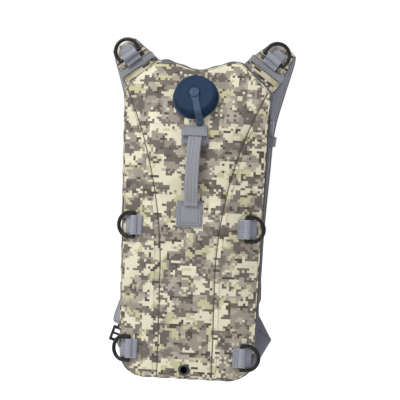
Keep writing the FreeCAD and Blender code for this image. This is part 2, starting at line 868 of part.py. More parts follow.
def drain():
    """A two-part eyelet in the bottom of the front panel."""
    centre = Vector(0, value("dims.front_low"), value("dims.drain_level"))
    outward = Placement(centre, UPRIGHT)
    bore, barrel, rim = "dims.eyelet_bore", "dims.eyelet_barrel", "dims.eyelet_rim"
    eyelet = new_body("drain_grommet")
    turned(
        eyelet,
        [
            (bore, "-3"),
            (barrel, "-3"),
            (barrel, "0.05"),
            (rim, "0.05"),
            (rim, "0.9"),
            (f"{rim} - 0.9", "1.5"),
            (bore, "1.5"),
        ],
    )
    washer = new_body("drain_washer")
    hole = f"{barrel} + 0.05"
    turned(washer, [(hole, "-2.4"), (rim, "-2.4"), (rim, "-1.6"), (hole, "-1.6")])
    keep("drain_grommet", eyelet, outward)
    keep("drain_washer", washer, outward)
    drill_place = Placement(centre - Vector(0, 4, 0), FACING_BACK)
    for label, radius in (("front_panel_centre", hole), ("foam_liner", f"{rim} + 0.7")):
        drill = rod(f"{label}_drain", radius, 12, drill_place)
        keep(label, boolean("Cut", f"{label}_drained", nodes[label], drill))


def haul_loop():
    """A short carrying loop sewn to the top of the back panel, where the pack hangs."""
    loop = new_body("haul_loop")
    end, thick, bow = "dims.loop_half", "dims.loop_thick", "dims.loop_bow"
    outer_side = [(end, thick), ("15", thick), ("9", bow)]
    inner_side = [("8", f"{bow} - 2"), ("14", "0"), (end, "0")]
    outer_left = [(f"-({x})", y) for x, y in reversed(outer_side)]
    inner_left = [(f"-({x})", y) for x, y in reversed(inner_side)]
    corners = inner_side + outer_side + outer_left + inner_left
    pad(loop, corners, "dims.loop_wide", role="XY_Plane")
    back_face = value("dims.back_plane + dims.back_thickness")
    foot = Vector(value("dims.loop_place"), back_face + 0.1, value("dims.loop_level"))
    keep("haul_loop", loop, Placement(foot, Rotation(Y_AXIS, value("dims.loop_turn"))))


# ---------------------------------------------------------------- zip on the right gusset


def zip_fastener():
    """A coil zip over the slit in the right gusset, with its slider and pull."""
    place = zip_place()
    tape_sizes = ("0.8", "dims.zip_tape_wide", "dims.zip_length + 8")
    tape = block("zip_tape_whole", tape_sizes, ("0.1", "-dims.zip_tape_wide / 2", "-4"), place)
    coil = block("zip_coil_whole", ("1.4", "5", "dims.zip_length"), ("0.9", "-2.5", "0"), place)
    keep("zip_chain", fused("zip_whole", [tape, coil]))

    slider = new_body("zip_slider")
    top = value("dims.zip_length") - 16
    pad(slider, rectangle("-0.7", "0", "0.8", "11"), "9", name="Plate")
    pad(slider, [("0.7", "1.5"), ("2.4", "3"), ("2.4", "8.5"), ("0.7", "10")], "3", name="Bridge")
    keep("zip_slider", slider, place.multiply(Placement(Vector(3.4, 0, top), Rotation())))

    pull = new_body("zip_pull")
    pad(
        pull,
        rectangle("-3.5", "-22", "3.5", "0.6"),
        "1.4",
        role="YZ_Plane",
        name="Tab",
        holes=[("0", "-18", "1.6")],
    )
    keep("zip_pull", pull, place.multiply(Placement(Vector(6.9, 0, top + 4), Rotation())))


# ---------------------------------------------------------------- shoulder straps


class Strap:
    """A strap's middle line with its width and facing, on either side of the pack."""

    def __init__(self, name):
        self.side = SIDES[name]
        self.stations = STRAP_ROOT + STRAP_END[name]
        self.last = len(self.stations) - 1

    def station(self, place):
        """Values between two stations, on a smooth curve through all of them."""
        i = min(int(place), self.last - 1)
        t = place - i
        near, far = self.stations[i], self.stations[i + 1]
        before = self.stations[i - 1] if i > 0 else [2 * a - b for a, b in zip(near, far)]
        after = self.stations[i + 2] if i + 2 <= self.last else [2 * b - a for a, b in zip(near, far)]
        blended = []
        for p, a, b, q in zip(before, near, far, after):
            bend = (2 * a - 2 * b + (b - p) / 2 + (q - a) / 2) * t + (3 * b - 3 * a - (b - p) - (q - a) / 2)
            blended.append(a + t * ((b - p) / 2 + t * bend))
        return blended

    def frame(self, place):
        """Centre, direction along the strap, direction across it, and outward direction."""
        x, y, z, _, slant = self.station(place)
        step = 0.02
        ahead = Vector(*self.station(min(place + step, self.last))[:3])
        behind = Vector(*self.station(max(place - step, 0))[:3])
        along = (ahead - behind).normalize()
        turn = math.radians(slant)
        across = Vector(math.cos(turn), 0, -math.sin(turn))
        outward = across.cross(along).normalize()
        return Vector(x, y, z), along, across, outward

    def mirror(self, point):
        return Vector(point.x * self.side, point.y, point.z)

    def placed(self, place, height):
        """A frame on the strap's outer face: local X along it, local Z outward."""
        centre, along, _, outward = self.frame(place)
        return frame_of(self.mirror(centre + outward * height), self.mirror(along), self.mirror(outward))

    def band(self, label, start, end, width, low, high):
        """Cloth or webbing that follows the strap between two places. width None takes the strap's own."""
        count = max(2, round((end - start) * STEPS) + 1)
        wires = []
        for i in range(count):
            place = start + (end - start) * i / (count - 1)
            centre, _, across, outward = self.frame(place)
            half = across * ((self.station(place)[3] if width is None else width) / 2)
            corners = [
                centre - half + outward * low,
                centre + half + outward * low,
                centre + half + outward * high,
                centre - half + outward * high,
            ]
            wires.append(Part.makePolygon([self.mirror(c) for c in corners + corners[:1]]))
        solid = doc.addObject("Part::Feature", label)
        solid.Shape = Part.makeLoft(wires, True, False)
        return keep(label, solid)


def shoulder_strap(name):
    """The padded strap, the webbing sewn along it, its cross strip, ring and chest-strap loop."""
    strap = Strap(name)
    half = value("dims.pad_thick / 2")
    run = value("dims.run_thick")
    strap.band(f"shoulder_pad_{name}", 0, strap.last, None, -half, half)
    low = half + 0.5
    high = low + run
    strap.band(f"strap_webbing_{name}", WEBBING_START, strap.last, value("dims.run_wide"), low, high)
    strap.band(f"strap_cross_strip_{name}", STRIP_START, STRIP_END, value("dims.band_wide"), low, high)
    place = strap.placed(RING_STATION, high + 0.4)
    ring_tab(f"ring_tab_shoulder_{name}", place, "dims.shoulder_tab_wide")
    ring(f"d_ring_shoulder_{name}", place)

    loop_place = strap.placed(CHEST_STATION, 0)
    wide, thick = "dims.band_wide", "dims.band_thick"
    outer = block(
        f"chest_loop_outer_{name}",
        ("dims.band_tall", f"{wide} + 2 * {thick}", f"12.2 + 2 * {thick}"),
        ("-dims.band_tall / 2", f"-{wide} / 2 - {thick}", f"-5.4 - {thick}"),
        loop_place,
    )
    inner = block(
        f"chest_loop_inner_{name}",
        ("dims.band_tall + 2", wide, "12.2"),
        ("-dims.band_tall / 2 - 1", f"-{wide} / 2", "-5.4"),
        loop_place,
    )
    keep(f"chest_strap_loop_{name}", boolean("Cut", f"chest_loop_{name}", outer, inner))

    lock = new_body(f"ladder_lock_{name}")
    side, slot = "dims.lock_wide / 2", "dims.lock_slot / 2"
    plate = rectangle("0", f"-{side}", "dims.lock_long", side)
    pad(lock, plate, "4", role="XY_Plane", name="Frame")
    pocket(lock, rectangle("4.5", f"-{slot}", "9.5", slot), "20", role="XY_Plane", name="UpperSlot")
    pocket(lock, rectangle("13", f"-{slot}", "18.5", slot), "20", role="XY_Plane", name="LowerSlot")
    end, along, _, outward = strap.frame(strap.last)
    origin = strap.mirror(end + along * 5 + outward * 1)
    keep(f"ladder_lock_{name}", lock, frame_of(origin, strap.mirror(along), strap.mirror(outward)))


def chest_strap():
    """The chest strap joins the two shoulder straps behind the pack with a side-release buckle."""
    plane = value("dims.sternum_plane")
    level = value("dims.sternum_level")
    low = "dims.sternum_level - dims.sternum_wide / 2"
    for name, length, start in (("left", "59.8", "-84"), ("right", "70", "14")):
        sizes = (length, "dims.web_thick", "dims.sternum_wide")
        run = block(f"chest_web_{name}", sizes, (start, "dims.sternum_plane", low))
        keep(f"chest_webbing_{name}", run)
    female = new_body("buckle_socket")
    centre = Placement(Vector(0, plane + 5.2, level), Rotation())
    pad(female, rectangle("-24", "-13", "10", "13"), "10.4", name="Shell")
    pocket(female, rectangle("-14", "-11", "11", "11"), "7.2", name="Cavity")
    pocket(female, rectangle("-9", "-14", "1", "14"), "5", name="Windows")
    keep("buckle_socket", female, centre)
    male = new_body("buckle_plug")
    pad(
        male,
        [
            ("10.4", "-12.5"),
            ("26", "-12.5"),
            ("26", "12.5"),
            ("10.4", "12.5"),
            ("10.4", "9.5"),
            ("-7", "10.4"),
            ("-8", "6.5"),
            ("6", "6.2"),
            ("6", "2"),
            ("-11", "1.5"),
            ("-11", "-1.5"),
            ("6", "-2"),
            ("6", "-6.2"),
            ("-8", "-6.5"),
            ("-7", "-10.4"),
            ("10.4", "-9.5"),
        ],
        "5.6",
        name="Prongs",
    )
    pocket(male, rectangle("17", "-10.5", "22", "10.5"), "8", name="Slot")
    keep("buckle_plug", male, centre)


def lower_webbing():
    """Webbing from each bottom corner of the back panel to the strap's ladder lock."""
    back_face = value("dims.back_plane + dims.back_thickness")
    anchor = back_face + 0.3
    turning_points = {
        "left": [(-84, 26), (-97, 50)],
        "right": [(86, 24), (104, 58), (84, 92)],
    }
    overlap = 5
    for name, points in turning_points.items():
        pieces = []
        for number, (start, end) in enumerate(zip(points, points[1:])):
            first = Vector(start[0], anchor, start[1])
            last = Vector(end[0], anchor, end[1])
            along = (last - first).normalize()
            length = (last - first).Length + 2 * overlap
            place = frame_of(first - along * overlap, along, Y_AXIS)
            sizes = (length, "dims.run_wide", "dims.run_thick")
            pieces.append(block(f"lower_run_{name}{number}", sizes, ("0", "-dims.run_wide / 2", "0"), place))
        whole = fused(f"lower_web_{name}", pieces) if len(pieces) > 1 else pieces[0]
        keep(f"lower_webbing_{name}", whole)


# ---------------------------------------------------------------- build, check and write


def frame_origin():
    """The frame's origin: the middle of the back panel's face, in the coordinates used for building."""
    return Vector(0, value("dims.back_plane + dims.back_thickness"), value("dims.origin_level"))


def main():
    carrier_shell()
    reservoir()
    filler_port()
    side_rings()
    grab_handle()
    drain()
    haul_loop()
    zip_fastener()
    for name in SIDES:
        shoulder_strap(name)
    chest_strap()
    lower_webbing()
    doc.recompute()
    origin = Placement(-frame_origin(), Rotation())
    for thing in nodes.values():
        thing.Placement = origin.multiply(thing.Placement)
    doc.recompute()
    for thing in doc.Objects:
        if "Invalid" in thing.State or "Error" in thing.State:
            raise RuntimeError(f"{thing.Name} failed: {thing.State}")
    os.makedirs(PARTS_FOLDER, exist_ok=True)
    for label, thing in nodes.items():
        shape = thing.Shape
        if shape.isNull() or not shape.isValid() or not shape.Solids:
            raise RuntimeError(f"{label} has no valid solid")
        box = shape.BoundBox
        sizes = f"{box.XLength:.1f} x {box.YLength:.1f} x {box.ZLength:.1f} mm"
        print(f"{label:28s} {len(shape.Solids)} solids {shape.Volume / 1000:8.2f} cm3  {sizes}")
        shape.exportStep(f"{PARTS_FOLDER}/{label}.step")
    print(len(nodes), "nodes")


main()
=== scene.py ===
"""Hydration pack: its visible form and finishes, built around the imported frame.

Lengths in the tables are millimetres in the pattern's own frame: X right, Y towards the wearer, Z up from the
middle of the bottom edge. place() turns them into the frame's metres.
"""

import math

import bpy
import bmesh
import numpy as np
from mathutils import Matrix, Vector


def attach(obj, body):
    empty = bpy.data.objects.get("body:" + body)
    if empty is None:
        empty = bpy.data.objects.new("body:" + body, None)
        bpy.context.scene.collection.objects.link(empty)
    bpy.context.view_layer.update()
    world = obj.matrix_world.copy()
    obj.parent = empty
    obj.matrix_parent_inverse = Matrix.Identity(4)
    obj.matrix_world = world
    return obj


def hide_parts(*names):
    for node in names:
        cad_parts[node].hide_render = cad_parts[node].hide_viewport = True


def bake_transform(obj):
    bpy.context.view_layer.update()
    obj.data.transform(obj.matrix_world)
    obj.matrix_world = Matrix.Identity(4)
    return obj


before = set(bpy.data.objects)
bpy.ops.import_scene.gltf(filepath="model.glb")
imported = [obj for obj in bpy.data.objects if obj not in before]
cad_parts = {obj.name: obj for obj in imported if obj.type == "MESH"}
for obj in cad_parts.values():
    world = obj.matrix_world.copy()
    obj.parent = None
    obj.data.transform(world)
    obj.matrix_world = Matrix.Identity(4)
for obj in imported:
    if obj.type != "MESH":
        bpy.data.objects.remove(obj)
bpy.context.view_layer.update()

MM = 0.001
ORIGIN = np.array([0.0, 28.0, 230.0])
RIGHT, BACK, UP = (1.0, 0.0, 0.0), (0.0, 1.0, 0.0), (0.0, 0.0, 1.0)
FRONT = (0.0, -1.0, 0.0)


def place(points):
    """Pattern millimetres to the frame's metres."""
    return (np.asarray(points, float) - ORIGIN) * MM


# ---------------------------------------------------------------- camera and lights


def add_object(name, data):
    """A new object in the scene."""
    made = bpy.data.objects.new(name, data)
    bpy.context.scene.collection.objects.link(made)
    return made


def photo_camera():
    """A long lens at the height of the pack's middle, a little to its right and slightly rolled."""
    azimuth, roll = math.radians(8), math.radians(2.4)
    view_width = 0.58
    side = Vector((math.cos(azimuth), math.sin(azimuth), 0))
    back = Vector((math.sin(azimuth), -math.cos(azimuth), 0))
    rise = Vector((0, 0, 1))
    right = side * math.cos(roll) + rise * math.sin(roll)
    up = rise * math.cos(roll) - side * math.sin(roll)
    data = bpy.data.cameras.new("camera")
    data.lens = 180
    data.sensor_width = 36
    target = Vector((0.0126, -0.048, 0.029))
    distance = view_width * data.lens / data.sensor_width
    camera = add_object("camera", data)
    turn = Matrix((right, up, back)).transposed().to_4x4()
    camera.matrix_world = Matrix.Translation(target + back * distance) @ turn
    bpy.context.scene.camera = camera


def area_light(name, spot, size, power):
    """A soft light at spot, turned to the middle of the pack."""
    data = bpy.data.lights.new(name, "AREA")
    data.size = size
    data.energy = power
    light = add_object(name, data)
    light.location = spot
    light.rotation_euler = (Vector((0, 0, 0)) - Vector(spot)).to_track_quat("-Z", "Y").to_euler()


photo_camera()
bpy.context.scene.view_settings.view_transform = "Standard"

# ---------------------------------------------------------------- finishes


STUDIO_LIGHT = 1.85


def rgb(red, green, blue):
    """Linear base colour of something that looks like this screen colour, 0 to 255, in the studio's light."""
    parts = [c / 255 for c in (red, green, blue)]
    linear = [c / 12.92 if c < 0.04 else ((c + 0.055) / 1.055) ** 2.4 for c in parts]
    return tuple(c / STUDIO_LIGHT for c in linear) + (1.0,)


class Finish:
    """A material on one Principled surface, built up node by node."""

    def __init__(self, name, roughness, coordinates="UV", **uniform):
        self.material = bpy.data.materials.new(name)
        self.material.use_nodes = True
        self.nodes = self.material.node_tree.nodes
        self.links = self.material.node_tree.links
        self.surface = self.nodes["Principled BSDF"]
        self.surface.inputs["Roughness"].default_value = roughness
        for socket, number in uniform.items():
            self.surface.inputs[socket.replace("_", " ")].default_value = number
        self.spot = self.node("TexCoord").outputs[coordinates]

    def node(self, kind, inputs=None, **settings):
        made = self.nodes.new("ShaderNode" + kind)
        for key, setting in settings.items():
            setattr(made, key, setting)
        for key, source in (inputs or {}).items():
            if isinstance(source, bpy.types.NodeSocket):
                self.links.new(source, made.inputs[key])
            else:
                made.inputs[key].default_value = source
        return made

    def calc(self, operation, a, b=0.0):
        return self.node("Math", {0: a, 1: b}, operation=operation).outputs[0]

    def mix(self, factor, a, b, kind="MIX"):
        made = self.node("Mix", {0: factor, 6: a, 7: b}, data_type="RGBA", blend_type=kind)
        return made.outputs[2]

    def noise(self, scale, detail=2.0, spot=None):
        inputs = {"Vector": spot or self.spot, "Scale": scale, "Detail": detail}
        return self.node("TexNoise", inputs).outputs[0]

    def waves(self, axis, pitch):
        """A ripple from 0 to 1 along one axis, every pitch metres."""
        part = self.node("SeparateXYZ", {0: self.spot}).outputs[axis]
        ripple = self.calc("SINE", self.calc("MULTIPLY", part, 2 * math.pi / pitch))
        return self.scaled(ripple, 0.5, 0.5)

    def scaled(self, source, by, plus=0.0):
        return self.calc("ADD", self.calc("MULTIPLY", source, by), plus)

    def colour(self, source):
        self.links.new(source, self.surface.inputs["Base Color"])

    def rough(self, source):
        self.links.new(source, self.surface.inputs["Roughness"])

    def bump(self, height, depth):
        """Relief of the given depth in metres."""
        made = self.node("Bump", {"Height": height, "Distance": depth, "Strength": 1.0})
        self.links.new(made.outputs[0], self.surface.inputs["Normal"])


def camouflage():
    """Printed pack cloth: soft blotches broken into small square pixels, over a fine plain weave."""
    cloth = Finish("camouflage_cloth", 0.85, Sheen_Weight=0.08, Specular_IOR_Level=0.2)
    cell = 0.0034
    snapped = cloth.node("VectorMath", {0: cloth.spot, 1: (cell, cell, cell)}, operation="SNAP").outputs[0]
    stretched = cloth.node("VectorMath", {0: snapped, 1: (0.85, 1.1, 1)}, operation="MULTIPLY").outputs[0]
    speckle = cloth.node("TexWhiteNoise", {0: snapped}).outputs[0]
    ragged = cloth.scaled(speckle, 0.09, -0.045)

    def blotch(scale, level, shift, detail):
        moved = cloth.node("VectorMath", {0: stretched, 1: (shift, shift * 0.7, shift)}, operation="ADD").outputs[0]
        field = cloth.calc("ADD", cloth.noise(scale, detail, moved), ragged)
        return cloth.calc("GREATER_THAN", field, level)

    # each ink: how close its blotches are, how rare, where they start, their detail, and its colour
    inks = [
        (38, 0.49, 0.0, 2.0, rgb(117, 108, 102)),
        (58, 0.56, 3.1, 2.0, rgb(188, 179, 164)),
        (37, 0.53, 7.3, 2.0, rgb(240, 233, 207)),
        (48, 0.60, 11.9, 2.0, rgb(214, 207, 168)),
        (90, 0.64, 17.7, 1.0, rgb(92, 84, 72)),
        (60, 0.63, 23.1, 1.0, rgb(134, 126, 116)),
    ]
    pattern = rgb(166, 156, 143)
    for scale, level, shift, detail, ink in inks:
        pattern = cloth.mix(blotch(scale, level, shift, detail), pattern, ink)
    worn = cloth.scaled(cloth.noise(11, 4.0), 0.5, 0.73)
    thread = cloth.scaled(cloth.noise(2600, 1.0), 0.3, 0.85)
    cloth.colour(cloth.mix(1.0, pattern, cloth.calc("MULTIPLY", worn, thread), "MULTIPLY"))
    weave = cloth.calc("MULTIPLY", cloth.waves(0, 0.0011), cloth.waves(1, 0.0011))
    cloth.bump(cloth.calc("ADD", weave, cloth.scaled(cloth.noise(120, 3.0), 1.2)), 0.0003)
    return cloth.material


def plain_cloth(name, tint, pitch=0.0012):
    """Dyed pack cloth with a visible basket weave, painted darker in its hollows as shade."""
    cloth = Finish(name, 0.85, Sheen_Weight=0.1, Specular_IOR_Level=0.2)
    weave = cloth.calc("MULTIPLY", cloth.waves(0, pitch), cloth.waves(1, pitch))
    # The weave term darkens the colour between the threads: painted shade of the weave's relief, over its bump; the
    # noise is random tone.
    shade = cloth.calc("MULTIPLY", cloth.scaled(weave, 0.35, 0.8), cloth.scaled(cloth.noise(14, 3.0), 0.3, 0.85))
    cloth.colour(cloth.mix(1.0, tint, shade, "MULTIPLY"))
    cloth.bump(cloth.calc("ADD", weave, cloth.scaled(cloth.noise(110, 3.0), 1.0)), 0.0003)
    return cloth.material


def ribbed_webbing(name, tint, rib=0.0022, pick=0.0013):
    """Woven nylon webbing: ribs along its length crossed by fine picks, a little fuzzy, painted darker in the grooves
    as shade.
    """
    band = Finish(name, 0.72, Sheen_Weight=0.1, Specular_IOR_Level=0.25)
    ribs = band.calc("POWER", band.waves(0, rib), 0.6)
    picks = band.waves(1, pick)
    weave = band.calc("ADD", band.scaled(ribs, 0.75), band.scaled(picks, 0.45))
    fibre = band.scaled(band.noise(1500, 2.0), 0.35, 0.82)
    dirt = band.scaled(band.noise(28, 3.0), 0.25, 0.88)
    # The weave term darkens the colour in the grooves between ribs and picks: painted shade of the weave's relief, over
    # its bump. Fibre and dirt are random tone.
    shade = band.calc("MULTIPLY", band.calc("MULTIPLY", fibre, dirt), band.scaled(weave, 0.6, 0.58))
    band.colour(band.mix(1.0, tint, shade, "MULTIPLY"))
    band.bump(weave, 0.00045)
    return band.material


def spacer_mesh(name, thread_tint, painted_hole_shade, pitch=0.0026):
    """Knitted spacer mesh: rows of small round holes, each row half a step along, painted dark as the shade down inside
    them.
    """
    net = Finish(name, 0.9, Sheen_Weight=0.1, Specular_IOR_Level=0.2)
    part = net.node("SeparateXYZ", {0: net.spot})
    across = net.calc("MULTIPLY", part.outputs[0], 2 * math.pi / pitch)
    along = net.calc("MULTIPLY", part.outputs[1], 2 * math.pi / pitch)
    field = net.calc("MULTIPLY", net.calc("SINE", across), net.calc("SINE", along))
    holes = net.node("MapRange", {0: field, 1: 0.15, 2: 0.75}, interpolation_type="SMOOTHSTEP").outputs[0]
    tuft = net.scaled(net.noise(900, 2.0), 0.4, 0.8)
    thread = net.mix(1.0, thread_tint, tuft, "MULTIPLY")
    # The holes take the dark colour: painted shade inside the holes, which the bump only dips.
    net.colour(net.mix(holes, thread, painted_hole_shade))
    net.bump(net.calc("SUBTRACT", net.scaled(tuft, 0.4), holes), 0.0006)
    return net.material


def moulded(name, tint, roughness, grain=900, depth=0.00004, worn=1.25, shine=0.22, **uniform):
    """Moulded plastic or rubber: fine grain, small scuffs, and edges painted a little lighter, as wear and as a painted
    highlight.
    """
    solid = Finish(name, roughness, "Object", Specular_IOR_Level=shine, **uniform)
    # Convex edges, found from pointiness and broken up by the scuff noise, are painted lighter by the worn factor:
    # partly wear, partly a painted highlight along the edges.
    edge = solid.node("MapRange", {0: solid.node("NewGeometry").outputs["Pointiness"], 1: 0.51, 2: 0.6}).outputs[0]
    scuffs = solid.noise(160, 6.0)
    patchy = solid.scaled(solid.noise(35, 3.0), 0.3, 0.86)
    base = solid.mix(1.0, tint, patchy, "MULTIPLY")
    rubbed_edge_highlight = tuple(min(1.0, c * worn + 0.01) for c in tint[:3]) + (1.0,)
    solid.colour(solid.mix(solid.calc("MULTIPLY", edge, scuffs), base, rubbed_edge_highlight))
    solid.rough(solid.scaled(scuffs, 0.28, roughness - 0.12))
    solid.bump(solid.noise(grain, 3.0), depth)
    return solid.material


def film():
    """Clear bluish bladder film, slightly wrinkled."""
    skin = Finish("bladder_film", 0.25, "Object", Transmission_Weight=0.55, IOR=1.45)
    skin.colour(skin.mix(skin.noise(20, 3.0), rgb(150, 180, 205), rgb(190, 210, 225)))
    skin.bump(skin.noise(60, 3.0), 0.0006)
    return skin.material


def foam():
    """Dark closed-cell foam."""
    cells = Finish("foam", 0.95, "Object")
    bubbles = cells.node("TexVoronoi", {"Vector": cells.spot, "Scale": 900.0}).outputs[0]
    cells.colour(cells.mix(bubbles, rgb(70, 72, 78), rgb(52, 54, 60)))
    cells.bump(bubbles, 0.0003)
    return cells.material


FINISHES = {
    "camouflage_cloth": camouflage(),
    "dark_cloth": plain_cloth("dark_cloth", rgb(76, 80, 92)),
    "trim_cloth": plain_cloth("trim_cloth", rgb(112, 107, 104), 0.0009),
    "mesh_back": spacer_mesh("mesh_back", rgb(132, 133, 144), rgb(58, 58, 66)),
    "strap_lining": plain_cloth("strap_lining", rgb(186, 188, 203), 0.0014),
    "webbing": ribbed_webbing("webbing", rgb(150, 151, 159)),
    "tab_webbing": ribbed_webbing("tab_webbing", rgb(158, 160, 173), 0.0026, 0.0011),
    "strap_webbing": ribbed_webbing("strap_webbing", rgb(140, 141, 154)),
    "zip_cloth": plain_cloth("zip_cloth", rgb(48, 50, 58), 0.0008),
    "thread": plain_cloth("thread", rgb(104, 97, 88), 0.0006),
    "dark_thread": plain_cloth("dark_thread", rgb(44, 45, 54), 0.0006),
    "pale_thread": plain_cloth("pale_thread", rgb(214, 214, 214), 0.0006),
    # The worn factor of each moulded finish sets how much lighter its edges are painted, as wear and as a painted edge
    # highlight; the eyelet metal's 3.0 paints a light rim round the drain grommet.
    "black_plastic": moulded("black_plastic", rgb(14, 14, 17), 0.42, worn=2.0),
    "coil_plastic": moulded("coil_plastic", rgb(86, 88, 96), 0.4),
    "cap_plastic": moulded("cap_plastic", rgb(28, 52, 79), 0.5, 1400, 0.00002, 1.6, 0.07),
    "tether_plastic": moulded("tether_plastic", rgb(62, 80, 106), 0.46, 1400, 0.00002, 1.25, 0.12),
    "rubber": moulded("rubber", rgb(34, 34, 38), 0.7, 1200, 0.00006),
    "eyelet_metal": moulded("eyelet_metal", rgb(58, 57, 60), 0.3, 1500, 0.00001, 3.0, Metallic=0.8),
    "zip_metal": moulded("zip_metal", rgb(120, 122, 128), 0.3, 1500, 0.00001, 1.6, Metallic=1.0),
    "bladder_film": film(),
    "foam": foam(),
}

# ---------------------------------------------------------------- mesh tools


def build(name, verts, faces, finishes, body="pack", uv=None, face_finish=None, smooth=True, outward=True):
    """A piece from points in metres. uv holds one pair of metres for each face corner."""
    mesh = bpy.data.meshes.new(name)
    mesh.from_pydata([tuple(v) for v in verts], [], faces)
    if uv is not None:
        layer = mesh.uv_layers.new(name="metres")
        layer.data.foreach_set("uv", np.asarray(uv, np.float32).ravel())
    if face_finish is not None:
        mesh.polygons.foreach_set("material_index", np.asarray(face_finish, np.int32))
    for finish in finishes:
        mesh.materials.append(FINISHES[finish])
    mesh.polygons.foreach_set("use_smooth", [smooth] * len(mesh.polygons))
    if outward:
        made = bmesh.new()
        made.from_mesh(mesh)
        bmesh.ops.recalc_face_normals(made, faces=made.faces)
        made.to_mesh(mesh)
        made.free()
    mesh.update()
    piece = add_object(name, mesh)
    if body:
        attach(piece, body)
    return piece


def smooth_rows(points, per):
    """More rows on a smooth curve through the given ones."""
    p = np.asarray(points, float)
    padded = np.vstack([2 * p[0] - p[1], p, 2 * p[-1] - p[-2]])
    rows = []
    for i in range(len(p) - 1):
        a, b, c, d = padded[i : i + 4]
        for t in np.arange(per) / per:
            rows.append(
                0.5 * ((2 * b) + (c - a) * t + (2 * a - 5 * b + 4 * c - d) * t**2 + (3 * b - a - 3 * c + d) * t**3)
            )
    rows.append(p[-1])
    return np.array(rows)


def unit(v):
    """Vectors scaled to length 1."""
    v = np.asarray(v, float)
    return v / np.maximum(np.linalg.norm(v, axis=-1, keepdims=True), 1e-12)


def everywhere(direction, points):
    """One direction for each of the points."""
    return np.broadcast_to(np.asarray(direction, float), np.shape(points))


def running_length(points):
    """How far along a line each of its points lies."""
    return np.concatenate([[0], np.cumsum(np.linalg.norm(np.diff(points, axis=0), axis=1))])


def turned(matrix, points, weight=1.0):
    """Points moved by a matrix, or directions turned by it when weight is 0."""
    return (np.column_stack([points, np.full(len(points), weight)]) @ np.array(matrix).T)[:, :3]


def grid_faces(rows, columns):
    """The quads between the points of a grid, row by row."""
    return [
        (i * columns + j, i * columns + j + 1, (i + 1) * columns + j + 1, (i + 1) * columns + j)
        for i in range(rows - 1)
        for j in range(columns - 1)
    ]


def subdivide(piece):
    """One level of smooth subdivision."""
    fine = piece.modifiers.new("smooth", "SUBSURF")
    fine.levels = fine.render_levels = 1


def flat_section(steps=9, edge=0.05):
    """A woven band's section: flat faces and rounded selvedges, in half widths and half thicknesses."""
    top = [(a, 1.0) for a in np.linspace(-1 + edge, 1 - edge, steps)]
    right = [(1 - edge * 0.3, 0.75), (1.0, 0.0), (1 - edge * 0.3, -0.75)]
    return np.array(top + right + [(-a, -h) for a, h in top] + [(-a, -h) for a, h in right])


def padded_section(steps=13, rim=0.3, crown=1.0):
    """A stuffed strap's section: crowned faces that pull in to a narrow bound edge."""
    across = np.linspace(-0.97, 0.97, steps)
    rise = rim + (crown - rim) * (1 - np.abs(across) ** 2.6) ** 0.6
    top = list(zip(across, rise))
    right = [(1.0, rim * 0.7), (1.02, 0.0), (1.0, -rim * 0.7)]
    return np.array(top + right + [(-a, -h) for a, h in top] + [(-a, -h) for a, h in right])


def sweep(name, centres, across, out, wide, thick, finishes, section=None, body="pack", closed=False, sides=None,
          in_mm=True, start=0.0, caps=(True, True)):
    """A band drawn along centres. wide and thick are full sizes; sides gives the finish of each section edge.

    start is where its weave begins along it, and caps says which of its open ends are closed.
    """
    section = flat_section() if section is None else section
    c, a, o = (np.asarray(v, float) for v in (centres, across, out))
    n, m = len(c), len(section)
    sides = [0] * m if sides is None else sides
    w = np.broadcast_to(np.asarray(wide, float), n) / 2
    t = np.broadcast_to(np.asarray(thick, float), n) / 2
    points = (
        c[:, None]
        + a[:, None] * (section[None, :, 0] * w[:, None])[..., None]
        + o[:, None] * (section[None, :, 1] * t[:, None])[..., None]
    ).reshape(-1, 3)
    around = running_length(np.vstack([section, section[:1]]) * [w.mean(), t.mean()])
    along = start + running_length(c)
    if closed:
        along = np.append(along, along[-1] + np.linalg.norm(c[0] - c[-1]))
    faces, uv, finish = [], [], []
    for i in range(n if closed else n - 1):
        k = (i + 1) % n
        near, far = along[i], along[i + 1]
        for j in range(m):
            l = (j + 1) % m
            faces.append((i * m + j, i * m + l, k * m + l, k * m + j))
            uv += [(around[j], near), (around[j + 1], near), (around[j + 1], far), (around[j], far)]
            finish.append(sides[j])
    for row, cap in zip((0, n - 1), caps):
        if cap and not closed:
            faces.append(tuple(row * m + j for j in range(m)))
            uv += [(around[j], along[row]) for j in range(m)]
            finish.append(sides[-1])
    verts = place(points) if in_mm else points
    return build(name, verts, faces, finishes, body, np.array(uv) * (MM if in_mm else 1), finish)


def band(name, points, across, wide, thick, finish, body="pack", slot=None):
    """A webbing strip through points, with a constant direction across it."""
    c = smooth_rows(points, 6)
    along = unit(np.gradient(c, axis=0))
    a = unit(everywhere(across, c))
    return sweep(name, c, a, unit(np.cross(a, along)), wide, thick, [finish], body=body)


